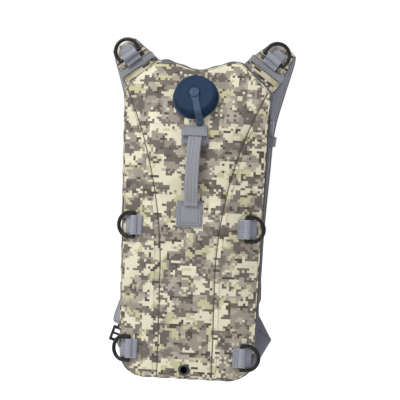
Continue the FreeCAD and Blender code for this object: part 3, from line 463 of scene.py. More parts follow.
def stitches(name, lines, finish="thread", body="pack", length=2.6, gap=1.5, radius=0.32, lift=0.25):
    """Rows of single stitches. Each line is (points, normals) in pattern millimetres."""
    verts, faces = [], []
    for points, normals in lines:
        p, q = np.asarray(points, float), np.asarray(normals, float)
        steps = running_length(p)
        for start in np.arange(gap, steps[-1] - length, length + gap):
            ends = [start, start + length / 2, start + length]
            centre = np.array([[np.interp(e, steps, p[:, k]) for k in range(3)] for e in ends])
            out = unit(np.array([np.interp(ends[1], steps, q[:, k]) for k in range(3)]))
            along = unit(centre[2] - centre[0])
            side = np.cross(out, along)
            first = len(verts)
            for row, (fat, high) in enumerate(((0.5, -0.4), (1.0, 1.0), (0.5, -0.4))):
                for s, h in ((1, 0), (0, 1), (-1, 0), (0, -1)):
                    verts.append(centre[row] + side * (s * radius * fat) + out * (h * radius * fat + lift * high))
            for row in (0, 1):
                for k in range(4):
                    a, b = first + row * 4 + k, first + row * 4 + (k + 1) % 4
                    faces.append((a, b, b + 4, a + 4))
            faces += [tuple(first + k for k in (3, 2, 1, 0)), tuple(first + 8 + k for k in range(4))]
    corners = sum(len(f) for f in faces)
    return build(name, place(verts), faces, [finish], body, np.zeros((corners, 2)))


def lathe(name, profile, turn, finish, body, steps=96):
    """A turned piece about the local Z of turn, from (radius, height) pairs in millimetres."""
    angle = np.arange(steps) * 2 * math.pi / steps
    ring = np.stack([np.cos(angle), np.sin(angle)], 1)
    points = np.concatenate([np.column_stack([ring * r, np.full(steps, h)]) for r, h in profile]) * MM
    faces = []
    for i in range(len(profile)):
        here, there = i * steps, (i + 1) % len(profile) * steps
        for j in range(steps):
            l = (j + 1) % steps
            faces.append((here + j, here + l, there + l, there + j))
    return build(name, turned(turn, points), faces, [finish], body, np.zeros((4 * len(faces), 2)))


# ---------------------------------------------------------------- the carrier's form

LOW_HALF, HIGH_HALF, HIGH_LEVEL, TOP_HALF, TOP_LEVEL = 98.0, 106.0, 396.0, 107.0, 416.0
CORNER, BOTTOM_HALF = 36.0, 62.0
SEAM_FOOT, SEAM_KNEE, SEAM_RADIUS = 40.0, 150.0, 630.0
SEAM_CENTRE = (670.0, 141.1)
FRONT_LOW, FRONT_DEEP = -24.0, -32.0
SLOPE_ANGLE, BEVEL_ANGLE = math.radians(22), math.radians(24)
SLOPE, BEVEL, BEVEL_START = math.tan(SLOPE_ANGLE), math.tan(BEVEL_ANGLE), 48
BACK_FRONT, BACK_FACE = 20.0, 27.2
PORT_LEVEL, PORT_HOLE = 406.5, 28.5
DRAIN_LEVEL, DRAIN_HOLE = 12, 5.6
HOSE_PORT_X, HOSE_PORT_LEVEL, HOSE_PORT_HOLE = 38, 428, 7.6
CUSHION_HALF, CUSHION_LOW, CUSHION_HIGH, QUILT_PITCH, BORDER_SEAM = 42, 40, 400, 60, 70
COLUMNS_SIDE, COLUMNS_MIDDLE = 16, 44


def half_width(z):
    """Half the carrier's width at a height, with rounded lower corners."""
    corner = BOTTOM_HALF + np.sqrt(np.clip(CORNER**2 - (CORNER - np.minimum(z, CORNER)) ** 2, 0, None))
    return np.where(z < CORNER, corner, np.interp(z, [CORNER, HIGH_LEVEL, TOP_LEVEL], [LOW_HALF, HIGH_HALF, TOP_HALF]))


def top_level(x):
    """Height of the top edge, which dips in the middle and falls to the shoulders."""
    return np.interp(np.abs(x), [0, 12, 50, 62, 98, 107], [446, 449, 461, 459.5, 427, 416])


def front_depth(x, z):
    """The front's sewn form: a flat middle, a lower step, bevelled sides and a sloping top, all softened."""
    profile = np.interp(z, [0, 6, 58, 140, 370], [-20.5, FRONT_LOW, FRONT_LOW, FRONT_DEEP, FRONT_DEEP])
    profile = np.where(z > 370, FRONT_DEEP + (z - 370) * SLOPE, profile)
    bevel = FRONT_DEEP + (np.abs(x) - BEVEL_START) * BEVEL
    soft = 3.0
    return soft * np.logaddexp(profile / soft, bevel / soft)


def seam_place(z):
    """How far the long front seams run from the middle at a height."""
    arc = SEAM_CENTRE[0] - np.sqrt(SEAM_RADIUS**2 - (np.clip(z, SEAM_KNEE, 425) - SEAM_CENTRE[1]) ** 2)
    return np.where(z < SEAM_KNEE, SEAM_FOOT, arc)


def grid_rows(step):
    """Heights up to the shoulders, then shares of the way from there to the sloping top edge."""
    return np.concatenate([np.arange(0, HIGH_LEVEL, step), HIGH_LEVEL + np.linspace(0, 1, 16)])


def grid_point(share, row):
    """Where a share of the half width, -1 to 1, meets a row of the pattern grid."""
    if row < HIGH_LEVEL:
        return share * half_width(row), np.full_like(share, row)
    climb = row - HIGH_LEVEL
    x = share * (HIGH_HALF + climb * (TOP_HALF - HIGH_HALF))
    return x, HIGH_LEVEL + (top_level(x) - HIGH_LEVEL) * climb


def seam_share(row):
    """The seam's share of the half width in a row."""
    share = 0.9
    for _ in range(12):
        x, z = grid_point(np.array([share]), row)
        share = min(0.985, float(seam_place(z)[0] / (x[0] / share)))
    return share


def front_grid():
    """Points of the whole front, with columns that follow the two long seams."""
    rows = []
    for row in grid_rows(3.0):
        seam = seam_share(row)
        side = np.linspace(seam, 1, COLUMNS_SIDE + 1)
        middle = np.linspace(-seam, seam, COLUMNS_MIDDLE + 1)
        share = np.concatenate([-side[:0:-1], middle, side[1:]])
        x, z = grid_point(share, row)
        rows.append(np.column_stack([x, front_depth(x, z), z]))
    return np.array(rows)


def grid_normals(grid):
    """Outward normals at the points of a front grid."""
    down = np.gradient(grid, axis=0)
    right = np.gradient(grid, axis=1)
    return unit(np.cross(right, down))


# flat places under the sewn-on pieces: (x, z, half width, half height)
FITTED = [
    (2.7, 352, 21, 16),
    (-0.3, 238, 21, 21),
    (-79, 219, 17, 16),
    (79, 219, 17, 16),
    (-79, 39, 17, 16),
    (79, 33, 17, 16),
    (0, 12, 7, 7),
]


def port_distance(x, z):
    """Distance from the filler port's axis, measured in its sloping panel."""
    return np.hypot(x, (z - PORT_LEVEL) / math.cos(SLOPE_ANGLE))


def free_cloth(grid):
    """1 where the cloth may swell, falling to 0 at the sewn-on pieces and the port."""
    x, z = grid[..., 0], grid[..., 2]
    free = np.ones_like(x)
    fade, port_reach = 12, 35
    for px, pz, rx, rz in FITTED:
        away = np.hypot(np.maximum(np.abs(x - px) - rx, 0), np.maximum(np.abs(z - pz) - rz, 0))
        free = np.minimum(free, np.clip(away / fade, 0, 1))
    free = np.minimum(free, np.clip((port_distance(x, z) - port_reach) / fade, 0, 1))
    return free * free * (3 - 2 * free)


SWELL_FRAMES = 14
SWELL_LIMIT = 5.5
INWARD_HELD = 0.75
CLOTH = {
    "quality": 4,
    "mass": 0.3,
    "tension_stiffness": 20,
    "compression_stiffness": 20,
    "shear_stiffness": 8,
    "bending_stiffness": 0.4,
    "air_damping": 4,
    "use_pressure": True,
    "uniform_pressure_force": 3.0,
    "shrink_min": -0.022,
    "shrink_max": -0.022,
    "vertex_group_mass": "sewn",
    "pin_stiffness": 5,
}


def swell(grid, free, pinned):
    """Cloth simulation of a sewn sheet under pressure, held at its seams. Returns the moved grid."""
    rows, columns = grid.shape[:2]
    mesh = bpy.data.meshes.new("front_cloth")
    mesh.from_pydata([tuple(p) for p in grid.reshape(-1, 3) * MM], [], grid_faces(rows, columns))
    sheet = add_object("front_cloth", mesh)
    group = sheet.vertex_groups.new(name="sewn")
    hold = np.maximum(pinned, 1 - free).ravel()
    for index in np.nonzero(hold > 0.02)[0]:
        group.add([int(index)], float(hold[index]), "REPLACE")
    cloth = sheet.modifiers.new("cloth", "CLOTH")
    for key, setting in CLOTH.items():
        setattr(cloth.settings, key, setting)
    cloth.settings.effector_weights.gravity = 0
    cloth.collision_settings.use_collision = False
    cloth.point_cache.frame_end = SWELL_FRAMES
    scene = bpy.context.scene
    for step in range(1, SWELL_FRAMES + 1):
        scene.frame_set(step)
    solved = sheet.evaluated_get(bpy.context.evaluated_depsgraph_get()).data
    moved = np.empty(len(solved.vertices) * 3, np.float32)
    solved.vertices.foreach_get("co", moved)
    scene.frame_set(1)
    bpy.data.objects.remove(sheet)
    travel = moved.reshape(rows, columns, 3) / MM - grid
    far = np.linalg.norm(travel, axis=-1, keepdims=True)
    travel *= np.minimum(1, SWELL_LIMIT / np.maximum(far, 1e-9))
    normals = grid_normals(grid)
    rise = (travel * normals).sum(axis=-1, keepdims=True)
    travel -= normals * np.minimum(rise, 0) * INWARD_HELD
    return grid + travel * free[..., None]


def sheet_piece(name, grid, finish, keep=None, thickness=1.2, uv=None, away=FRONT):
    """A sheet of cloth from a grid of points, given thickness on its inner side. keep picks faces by their middle."""
    flat = grid.reshape(-1, 3)
    chart = flat[:, [0, 2]] if uv is None else uv.reshape(-1, 2)
    faces = [f for f in grid_faces(*grid.shape[:2]) if keep is None or keep(flat[list(f)].mean(axis=0))]
    corners = np.array([chart[k] for face in faces for k in face]) * MM
    piece = build(name, place(flat), faces, [finish], "pack", corners, outward=False)
    loose = bmesh.new()
    loose.from_mesh(piece.data)
    bmesh.ops.delete(loose, geom=[v for v in loose.verts if not v.link_faces], context="VERTS")
    loose.faces.ensure_lookup_table()
    middle = loose.faces[len(loose.faces) // 2]
    if middle.normal.dot(Vector(away)) < 0:
        bmesh.ops.reverse_faces(loose, faces=loose.faces)
    loose.to_mesh(piece.data)
    loose.free()
    thick = piece.modifiers.new("thickness", "SOLIDIFY")
    thick.thickness = thickness * MM
    thick.offset = -1
    subdivide(piece)
    return piece


def outside_holes(centre):
    """Whether a face of the front is clear of the filler port and the drain."""
    x, _, z = centre
    return port_distance(x, z) > PORT_HOLE and math.hypot(x, z - DRAIN_LEVEL) > DRAIN_HOLE


def front_panels():
    """The three front panels, swollen between their seams, with grooves and topstitching along the seams."""
    grid = front_grid()
    free = free_cloth(grid)
    left, right = COLUMNS_SIDE, COLUMNS_SIDE + COLUMNS_MIDDLE
    pinned = np.zeros(grid.shape[:2])
    pinned[:, [0, left, right, -1]] = 1
    pinned[[0, -1], :] = 1
    top_rows, half_held = 18, 0.6
    for shoulder in (slice(0, left + 1), slice(right, None)):
        pinned[-top_rows:, shoulder] = np.maximum(pinned[-top_rows:, shoulder], half_held)
    puffed = swell(grid, free, pinned)
    normals = grid_normals(puffed)
    groove_depth, groove_reach = 1.7, 1.8
    for seam in (left, right):
        reach = np.abs(puffed[..., 0] - puffed[:, [seam], 0])
        groove = groove_depth * np.exp(-((reach / groove_reach) ** 2))
        puffed = puffed - normals * groove[..., None]
    parts = {"left": slice(0, left + 1), "centre": slice(left, right + 1), "right": slice(right, None)}
    for name, part in parts.items():
        piece = sheet_piece(f"carrier_front_panel_{name}", puffed[:, part], "camouflage_cloth", outside_holes)
        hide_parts(f"front_panel_{name}")
    normals = grid_normals(puffed)
    lines = []
    for beside in (left - 2, right + 2):
        out = normals[1:-2, beside]
        lines.append((puffed[1:-2, beside] + out * 0.2, out))
    stitches("seam_topstitching", lines, "thread", length=2.4, gap=1.2, radius=0.34)
    for number, seam in enumerate((left, right)):
        out = normals[1:-2, seam]
        line = puffed[1:-2, seam] + out * 0.15
        sweep(f"seam_fold_{number}", line, everywhere(RIGHT, line), out, 0.9, 0.7, ["thread"])
    return puffed


def edge_loop():
    """The carrier's outline as a closed run of (x, z), anticlockwise from the middle of the bottom."""
    step = 4.0
    corner = CORNER * (1 - np.cos(np.linspace(0, math.pi / 2, 12)))
    levels = np.concatenate([corner, np.arange(40, TOP_LEVEL, step)])
    right = [(x, 0.0) for x in np.arange(0, BOTTOM_HALF, step)]
    right += [(float(half_width(np.array(z))), z) for z in levels]
    right += [(x, float(top_level(x))) for x in np.linspace(TOP_HALF, 0, 34)]
    return np.array(right + [(-x, z) for x, z in right[-2:0:-1]])


def gusset():
    """The dark wall round the carrier between the front's edge and the back, bulging except along the zip."""
    loop = edge_loop()
    tangent = unit(np.roll(loop, -1, axis=0) - np.roll(loop, 1, axis=0))
    outward = np.column_stack([tangent[:, 1], -tangent[:, 0]])
    front = front_depth(loop[:, 0], loop[:, 1])
    zip_side = np.exp(-(((loop[:, 0] - 102) / 8) ** 2)) * ((loop[:, 1] > 50) & (loop[:, 1] < 405))
    bulge = 2.6 * (1 - zip_side) - 0.4 * zip_side
    bulge = bulge + 0.5 * np.sin(np.arange(len(loop)) * 0.9) * (1 - zip_side)
    rows = []
    for share in np.linspace(0, 1, 9):
        swell_out = bulge * math.sin(math.pi * share) - 0.6
        xz = loop + outward * swell_out[:, None]
        rows.append(np.column_stack([xz[:, 0], front + (BACK_FRONT - front) * share, xz[:, 1]]))
    grid = np.array(rows)
    grid = np.concatenate([grid, grid[:, :1]], axis=1)
    uv = np.stack(np.broadcast_arrays(running_length(grid[4])[None, :], grid[..., 1]), -1)
    wall = sheet_piece("carrier_gusset", grid, "dark_cloth", uv=uv, away=UP)
    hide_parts("bottom_gusset", "top_gusset", "side_gusset_left", "side_gusset_right")
    return loop, outward, front


def welt(name, loop, outward, depth, radius, finish, out):
    """A sewn cord of folded cloth round an edge of the carrier."""
    xz = loop + outward * out
    centres = np.column_stack([xz[:, 0], np.broadcast_to(depth, len(loop)), xz[:, 1]])
    across = np.column_stack([outward[:, 0], np.zeros(len(loop)), outward[:, 1]])
    angle = np.arange(8) * math.pi / 4
    section = np.column_stack([np.cos(angle), np.sin(angle)])
    sweep(name, centres, across, everywhere(BACK, centres), radius * 2, radius * 2, [finish], section,
          closed=True)


def back_panel():
    """The padded back: a quilted middle cushion in spacer mesh, a softer border, rolled edges and a hose port."""
    rows = []
    for row in grid_rows(4.0):
        share = np.linspace(-1, 1, 63)
        share = np.sign(share) * np.abs(share) ** 0.9
        x, z = grid_point(share, row)
        rim = np.minimum(np.minimum(half_width(np.minimum(z, HIGH_LEVEL)) - np.abs(x), z), top_level(x) - z)
        rolled = np.sqrt(np.clip(1 - (1 - np.clip(rim / 4.5, 0, 1)) ** 2, 0, 1))
        y = BACK_FRONT + (BACK_FACE - BACK_FRONT) * rolled
        # how far a point lies inside the middle cushion, and from its nearest cross seam
        inside = np.minimum(CUSHION_HALF - np.abs(x), np.minimum(z - CUSHION_LOW, CUSHION_HIGH - z))
        quilt = np.abs((z - CUSHION_LOW) % QUILT_PITCH - QUILT_PITCH / 2) - QUILT_PITCH / 2
        cushion = 1.2 * np.clip(inside / 6, 0, 1)
        seam = 2.2 * np.exp(-((inside / 2.4) ** 2)) + 1.8 * np.exp(-((quilt / 3.2) ** 2)) * (inside > 0)
        side = 1.6 * np.exp(-(((np.abs(x) - BORDER_SEAM) / 2.6) ** 2)) * (z > 20) * (z < 420)
        hole = np.hypot(x - HOSE_PORT_X, z - HOSE_PORT_LEVEL)
        y = y + (cushion - seam - side) * rolled - 1.2 * np.exp(-(((hole - 9) / 2) ** 2))
        rows.append(np.column_stack([x, y, z]))

    def clear_of_port(centre):
        return math.hypot(centre[0] - HOSE_PORT_X, centre[2] - HOSE_PORT_LEVEL) > HOSE_PORT_HOLE

    piece = sheet_piece("carrier_back", np.array(rows), "mesh_back", clear_of_port, 3.0, away=BACK)
    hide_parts("back_panel")
    y = 26.6
    upright = np.linspace(CUSHION_LOW + 2, CUSHION_HIGH - 2, 60)
    level = np.linspace(1 - CUSHION_HALF, CUSHION_HALF - 1, 20)
    lines = [[(x, y, z) for z in upright] for x in (-CUSHION_HALF, CUSHION_HALF)]
    lines += [[(x, y, z) for x in level] for z in range(CUSHION_LOW, CUSHION_HIGH + 1, QUILT_PITCH)]
    lines += [[(x, y, z) for z in np.linspace(24, 414, 60)] for x in (-BORDER_SEAM, BORDER_SEAM)]
    stitches("back_quilting", [(line, everywhere(BACK, line)) for line in lines], "pale_thread",
             length=3.2, gap=1.6, radius=0.4)
    angle = np.linspace(0, 2 * math.pi, 33)[:-1]
    across = np.column_stack([np.cos(angle), np.zeros(32), np.sin(angle)])
    ring = across * 8.6 + [HOSE_PORT_X, 26.9, HOSE_PORT_LEVEL]
    sweep("hose_port_binding", ring, across, everywhere(BACK, ring), 3.2, 1.6, ["trim_cloth"], closed=True)


def inner_shell(name, node, grid, finish, inset, gap, back, thickness):
    """A soft closed shell inside the carrier, following the front's cloth at a distance, with a flat rear at back.

    inset narrows it, in percent of its width, and gap is its distance from the cloth.
    """
    front = (grid - grid_normals(grid) * gap)[::3, ::2]
    middle = np.array([0.0, 0.0, 215.0])
    front = middle + (front - middle) * [1 - inset / 100, 1, 1 - inset / 190]
    rows, columns = front.shape[:2]
    share = np.linspace(-1, 1, columns)
    level = np.arange(rows)[:, None]
    rim = np.clip((1 - np.abs(share)) * 6, 0, 1) * np.clip(np.minimum(level, rows - 1 - level) / 3, 0, 1)
    front[..., 1] = back + (np.minimum(front[..., 1], back) - back) * np.sqrt(rim)
    rear = front * [1, 0, 1] + [0, back, 0]
    around = np.concatenate([front, rear[:, ::-1], front[:, :1]], axis=1)

    def clear_of_neck(centre):
        return centre[1] > -2 or math.hypot(centre[0], centre[2] - PORT_LEVEL) > 31

    piece = sheet_piece(name, around, finish, clear_of_neck, thickness)
    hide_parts(node)
    return piece


# ---------------------------------------------------------------- webbing, rings and handle


def local_frame(origin, along, outward):
    """An origin with three axes: along, sideways and outward."""
    x, z = unit(along), unit(outward)
    return np.array(origin, float), x, np.cross(z, x), z


def in_frame(where, points):
    """Points given as (along, side, height) in a local frame."""
    origin, x, y, z = where
    p = np.asarray(points, float)
    return origin + p[:, :1] * x + p[:, 1:2] * y + p[:, 2:3] * z


def ring_tab(name, where, wide, node, body="pack"):
    """Webbing folded round the ring's bar and sewn down on a ground strip that runs on under the ring."""
    fold = [(-12, 0, 1.9), (-9, 0, 2.3), (-5.6, 0, 3.6), (-4.1, 0, 6.3), (-2.4, 0, 8.2),
            (0, 0, 8.9), (2.5, 0, 8.2), (3.9, 0, 6.2), (4.4, 0, 3.8), (4.2, 0, 1.9)]
    ground = [(-12.5, 0, 0.7), (-4, 0, 0.75), (4, 0, 0.75), (12, 0, 0.85), (16, 0, 0.7)]
    upper = band(f"{name}_fold", in_frame(where, fold), where[2], wide, 1.4, "tab_webbing", body)
    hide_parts(node)
    band(f"{name}_ground", in_frame(where, ground), where[2], wide * 0.96, 1.3, "tab_webbing", body)

    def line(along, height, inset):
        sides = np.linspace(inset - wide / 2, wide / 2 - inset, 12)
        points = in_frame(where, [(along, side, height) for side in sides])
        return points, everywhere(where[3], points)

    stitches(f"{name}_stitches", [line(-10.5, 2.75, 2), line(-8.4, 3.0, 2)], "thread", body, 1.9, 1.0, 0.3)
    # A close-set row of dark thread at the bend where the fold rises is a painted shadow line, not stitching.
    stitches(f"{name}_painted_crease_shade", [line(-5.4, 4.6, 0.3)], "dark_thread", body, 2.6, 0.2, 0.6)


def side_ring_frame(side, level):
    """A side ring's frame on the bevelled edge of the front."""
    x = 81.0
    depth = FRONT_DEEP + (x - BEVEL_START) * BEVEL
    along = np.array([side * math.cos(BEVEL_ANGLE), math.sin(BEVEL_ANGLE), 0])
    outward = np.array([side * math.sin(BEVEL_ANGLE), -math.cos(BEVEL_ANGLE), 0])
    return local_frame(np.array([side * x, depth, level]) + outward * 0.1, along, outward)


def side_tabs():
    """The webbing tabs of the four side rings."""
    places = {"upper_left": (-1, 219), "upper_right": (1, 219), "lower_left": (-1, 39), "lower_right": (1, 33)}
    for name, (side, level) in places.items():
        ring_tab(f"side_tab_{name}", side_ring_frame(side, level), 28, f"ring_tab_{name}")


def rectangle_line(left, low, right, high, depth):
    """A sewn rectangle on the front, as (points, normals)."""
    corners = [(left, low), (right, low), (right, high), (left, high), (left, low)]
    points = []
    for (x0, z0), (x1, z1) in zip(corners, corners[1:]):
        points += [(x0 + (x1 - x0) * t, depth, z0 + (z1 - z0) * t) for t in np.arange(10) / 10]
    points = np.array(points + [(left, depth, low)])
    return points, everywhere(FRONT, points)


def handle():
    """Two sewn patches and the bowed grip of doubled webbing between them."""
    front = FRONT_DEEP - 0.9

    def patch(name, x, places):
        """A strip up the front at x, through (height above it, level) pairs."""
        return band(name, [(x, front - lift, z) for lift, z in places], RIGHT, 38, 1.5, "webbing")

    base = patch("upper_patch_base", 2.7, [(0, 338), (0.1, 346), (0.1, 358), (0, 366)])
    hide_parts("handle_upper_patch")
    patch("upper_patch_fold", 2.7, [(4.3, 351.4), (4.2, 355), (2.8, 361), (1.3, 366.2)])
    band("upper_patch_corner", [(18.5, front - 1.2, 352.5), (20.2, front - 1.7, 346), (21.4, front - 1.2, 339.5)],
         [0.93, -0.1, 0.35], 4.5, 1.3, "webbing")
    lower = patch("lower_patch", -0.3, [(0, 219), (0.2, 228), (0.2, 248), (0, 257)])
    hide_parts("handle_lower_patch")
    stitches("patch_stitches", [
        rectangle_line(-14, 340, 19.5, 350.5, front - 1.0),
        rectangle_line(-14.3, 355.5, 19.7, 364.5, front - 4.4),
        rectangle_line(-17, 221.5, 16.5, 254.5, front - 1.0),
        rectangle_line(-13.5, 225, 13, 251, front - 1.0),
    ], "dark_thread", length=1.9, gap=1.1, radius=0.3)
    # Two close-set rows of dark thread are painted shadow, not stitching: one under the lower edge of the patch's fold,
    # where the grip comes out from under it, and one beside the corner piece.
    fold_shadow_line = np.array([(x, front - 4.0, 350.7) for x in np.linspace(-7.5, 15.5, 10)])
    corner = np.array([(18.6 + t * 3.2, front - 2.4, 351 - t * 13) for t in np.linspace(0, 1, 8)])
    dark = [(line, everywhere(FRONT, line)) for line in (fold_shadow_line, corner)]
    stitches("upper_patch_painted_shadow", dark, "dark_thread", length=3.0, gap=0.1, radius=0.75)

    line = [(4.4, -34.7, 356), (4.3, -34.9, 352), (4.2, -37.0, 348), (4.0, -41.8, 341), (3.8, -47.2, 326),
            (3.5, -48.6, 312), (3.3, -48.8, 298), (3.0, -48.0, 284), (2.6, -44.5, 272), (2.2, -38.6, 262),
            (2.0, -35.5, 256), (2.0, -34.9, 250)]
    centres = smooth_rows(line, 6)
    along = unit(np.gradient(centres, axis=0))
    side = unit(everywhere([1.0, 0.0, -0.03], centres))
    out = unit(np.cross(along, side))
    middle = len(centres) // 2
    run = running_length(centres[: middle + 1])[-1]
    halves = {
        "upper": (slice(0, middle + 1), 350, 330, 0.0, (True, False)),
        "lower": (slice(middle, None), 258, 276, run, (False, True)),
    }
    for name, (part, sewn, free, weave_start, caps) in halves.items():
        grip = sweep(f"grip_{name}", centres[part], side[part], out[part], 20, 3.2, ["webbing"], body=None,
                     start=weave_start, caps=caps)
        face = centres[part] + out[part] * 1.75
        rows = [(face + side[part] * offset, out[part]) for offset in (-7.6, -2.6, 2.6, 7.6)]
        seam = stitches(f"grip_{name}_stitches", rows, "pale_thread", None, 2.2, 1.4, 0.5)
        for piece in (grip, seam):
            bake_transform(piece)
        if name == "upper":
            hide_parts("grab_handle")


def haul_loop():
    """The short loop behind the dip of the top edge, sewn down at both ends."""
    turn = math.radians(9)
    where = local_frame((-22, 28.2, 439), (math.cos(turn), 0, -math.sin(turn)), BACK)
    half = [(3, 0, 13.1), (8, 0, 12), (11.2, 0, 7.4), (14.5, 0, 2.2), (19, 0, 1.0), (26, 0, 0.9)]
    line = [(-x, y, z) for x, y, z in half[::-1]] + half
    loop = band("haul_webbing", in_frame(where, line), where[2], 22, 1.7, "strap_webbing")
    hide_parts("haul_loop")
    for name, near, far in (("a", -25, -16), ("b", 16, 25)):
        ring = in_frame(where, [(near, -9, 1.9), (far, -9, 1.9), (far, 9, 1.9), (near, 9, 1.9), (near, -9, 1.9)])
        stitches(f"haul_stitches_{name}", [(ring, everywhere(where[3], ring))], "thread")


# ---------------------------------------------------------------- shoulder straps

# rows of a strap's middle line: x, y, z, width, and the slant of its width in degrees
STRAP_ROOT = [
    (82, 33, 437, 62, 35),
    (92, 33, 449, 60, 35),
    (108, 35, 470, 48, 34),
    (120, 44, 485, 38, 32),
    (115, 55, 471, 42, 24),
    (99, 60, 425, 47, 14),
    (83, 62, 369, 52, 8),
    (77, 62, 300, 54, 3),
    (73, 58, 225, 54, 0),
]
STRAP_END = {
    "left": [(77, 51, 145, 48, -8), (100, 43, 68, 38, -8)],
    "right": [(74, 52, 160, 50, -2), (80, 45, 106, 36, -8)],
}
PAD_THICK, RUN_WIDE, RUN_THICK = 8.0, 25.0, 1.6


class Strap:
    """A shoulder strap's middle line, with its width and facing. Places along it count the rows of its table."""

    def __init__(self, name):
        self.side = {"left": -1, "right": 1}[name]
        self.per = 16
        rows = smooth_rows(STRAP_ROOT + STRAP_END[name], self.per)
        slant = np.radians(rows[:, 4])
        flip = np.array([self.side, 1, 1])
        across = np.column_stack([np.cos(slant), np.zeros(len(rows)), -np.sin(slant)])
        along = unit(np.gradient(rows[:, :3], axis=0))
        self.out = unit(np.cross(across, along)) * flip
        self.centre = rows[:, :3] * flip
        self.across = across * flip
        self.along = along * flip
        self.wide = rows[:, 3]
        self.body = f"strap_{name}"

    def index(self, place_along):
        return min(int(round(place_along * self.per)), len(self.centre) - 1)

    def part(self, start, end, height):
        """Centres, across and outward directions between two places, at a height above the middle line."""
        cut = slice(self.index(start), self.index(end) + 1)
        return self.centre[cut] + self.out[cut] * height, self.across[cut], self.out[cut]

    def frame_at(self, place_along, height):
        i = self.index(place_along)
        return local_frame(self.centre[i] + self.out[i] * height, self.along[i], self.out[i])


def shoulder_strap(name):
    """A folded, stuffed pad with the webbing, cross strip and ring tab sewn along its outer face."""
    strap = Strap(name)
    step = np.arange(len(strap.centre))
    last = step[-1]
    close = np.clip((last - step) / 1.5, 0, 1)
    flare = np.clip((step - last + 12) / 9, 0, 1)
    fold = np.exp(-(((step - 3.15 * strap.per) / 6) ** 2))
    lumps = 0.05 * np.sin(step / last * 60)
    wide = strap.wide * (1 + 0.12 * flare) * (0.86 + 0.14 * close)
    thick = PAD_THICK * (1 - 0.35 * fold) * (0.55 + 0.45 * np.sqrt(close)) * (1 + lumps)
    sides = [0] * 12 + [2] * 4 + [1] * 12 + [2] * 4
    pad_piece = sweep(f"strap_pad_{name}", strap.centre, strap.across, strap.out, wide, thick,
                      ["camouflage_cloth", "strap_lining", "trim_cloth"], padded_section(), None, sides=sides)
    subdivide(pad_piece)
    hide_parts(f"shoulder_pad_{name}")
    lines = []
    for offset in (-0.86, 0.86):
        shift = strap.across * (offset * wide / 2)[:, None]
        for out in (strap.out, -strap.out):
            lines.append((strap.centre + shift + out * (thick * 0.34)[:, None], out))
    seams = stitches(f"strap_stitches_{name}", lines, "thread", None)
    for piece in (pad_piece, seams):
        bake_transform(piece)

    high = PAD_THICK / 2 + 1.1
    c, a, o = strap.part(3.4, 99, high)
    tail = [c[-1] + strap.along[-1] * reach - o[-1] * drop for reach, drop in ((2.8, 0.4), (4.6, 0.9))]
    c, a, o = np.vstack([c, tail]), np.vstack([a, a[-1:], a[-1:]]), np.vstack([o, o[-1:], o[-1:]])
    run = sweep(f"strap_run_{name}", c, a, o, RUN_WIDE, RUN_THICK, ["strap_webbing"], body=strap.body)
    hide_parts(f"strap_webbing_{name}")
    rows = [(c + a * s + o * 0.85, o) for s in (-10.5, 10.5)]
    stitches(f"strap_run_stitches_{name}", rows, "pale_thread", strap.body)
    c, a, o = strap.part(1.1, 1.5, high)
    c, a, o = smooth_rows(c, 3), unit(smooth_rows(a, 3)), unit(smooth_rows(o, 3))
    strip = sweep(f"strap_strip_{name}", c, a, o, 59, 1.5, ["webbing"], body=strap.body)
    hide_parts(f"strap_cross_strip_{name}")
    for k, finish in ((1, "thread"), (-2, "dark_thread")):
        line = c[k] + a[k] * np.linspace(-28, 28, 12)[:, None] + o[k] * 0.85
        stitches(f"strap_strip_{finish}_{name}", [(line, everywhere(o[k], line))], finish, strap.body, 2.6, 0.4, 0.45)
    where = strap.frame_at(1.86, PAD_THICK / 2 + RUN_THICK + 0.9)
    ring_tab(f"shoulder_tab_{name}", where, 24, f"ring_tab_shoulder_{name}", strap.body)
    return strap


def rounded_loop(wide, tall, radius):
    """A closed rounded rectangle, centred."""
    points = []
    for quarter, (sx, sy) in enumerate(((1, 1), (-1, 1), (-1, -1), (1, -1))):
        for t in np.linspace(0, math.pi / 2, 5):
            angle = quarter * math.pi / 2 + t
            x = sx * (wide / 2 - radius) + radius * math.cos(angle)
            points.append((x, sy * (tall / 2 - radius) + radius * math.sin(angle)))
    return np.array(points)


def chest_strap(straps):
    """Loops round the straps and the two chest webbings between them and the buckle."""
    level, depth = 352, 71.8
    ends = {"left": (-84, -70, -48, -24.4), "right": (84, 66, 40, 14.5)}
    for name, strap in straps.items():
        origin, x, y, z = strap.frame_at(6.25, 0.7)
        outline = rounded_loop(59.6, 13.8, 5.0)
        centres = origin + outline[:, :1] * y + outline[:, 1:] * z
        tangent = unit(np.roll(centres, -1, axis=0) - np.roll(centres, 1, axis=0))
        across = everywhere(x, centres)
        loop = sweep(f"chest_loop_{name}", centres, across, unit(np.cross(tangent, across)), 15, 1.6, ["strap_webbing"],
                     body=f"chest_{name}", closed=True)
        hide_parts(f"chest_strap_loop_{name}")
    for name, places in ends.items():
        line = [(x, depth, level) for x in places]
        run = band(f"chest_run_{name}", line, UP, 20, 1.4, "strap_webbing", f"chest_{name}")
        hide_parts(f"chest_webbing_{name}")


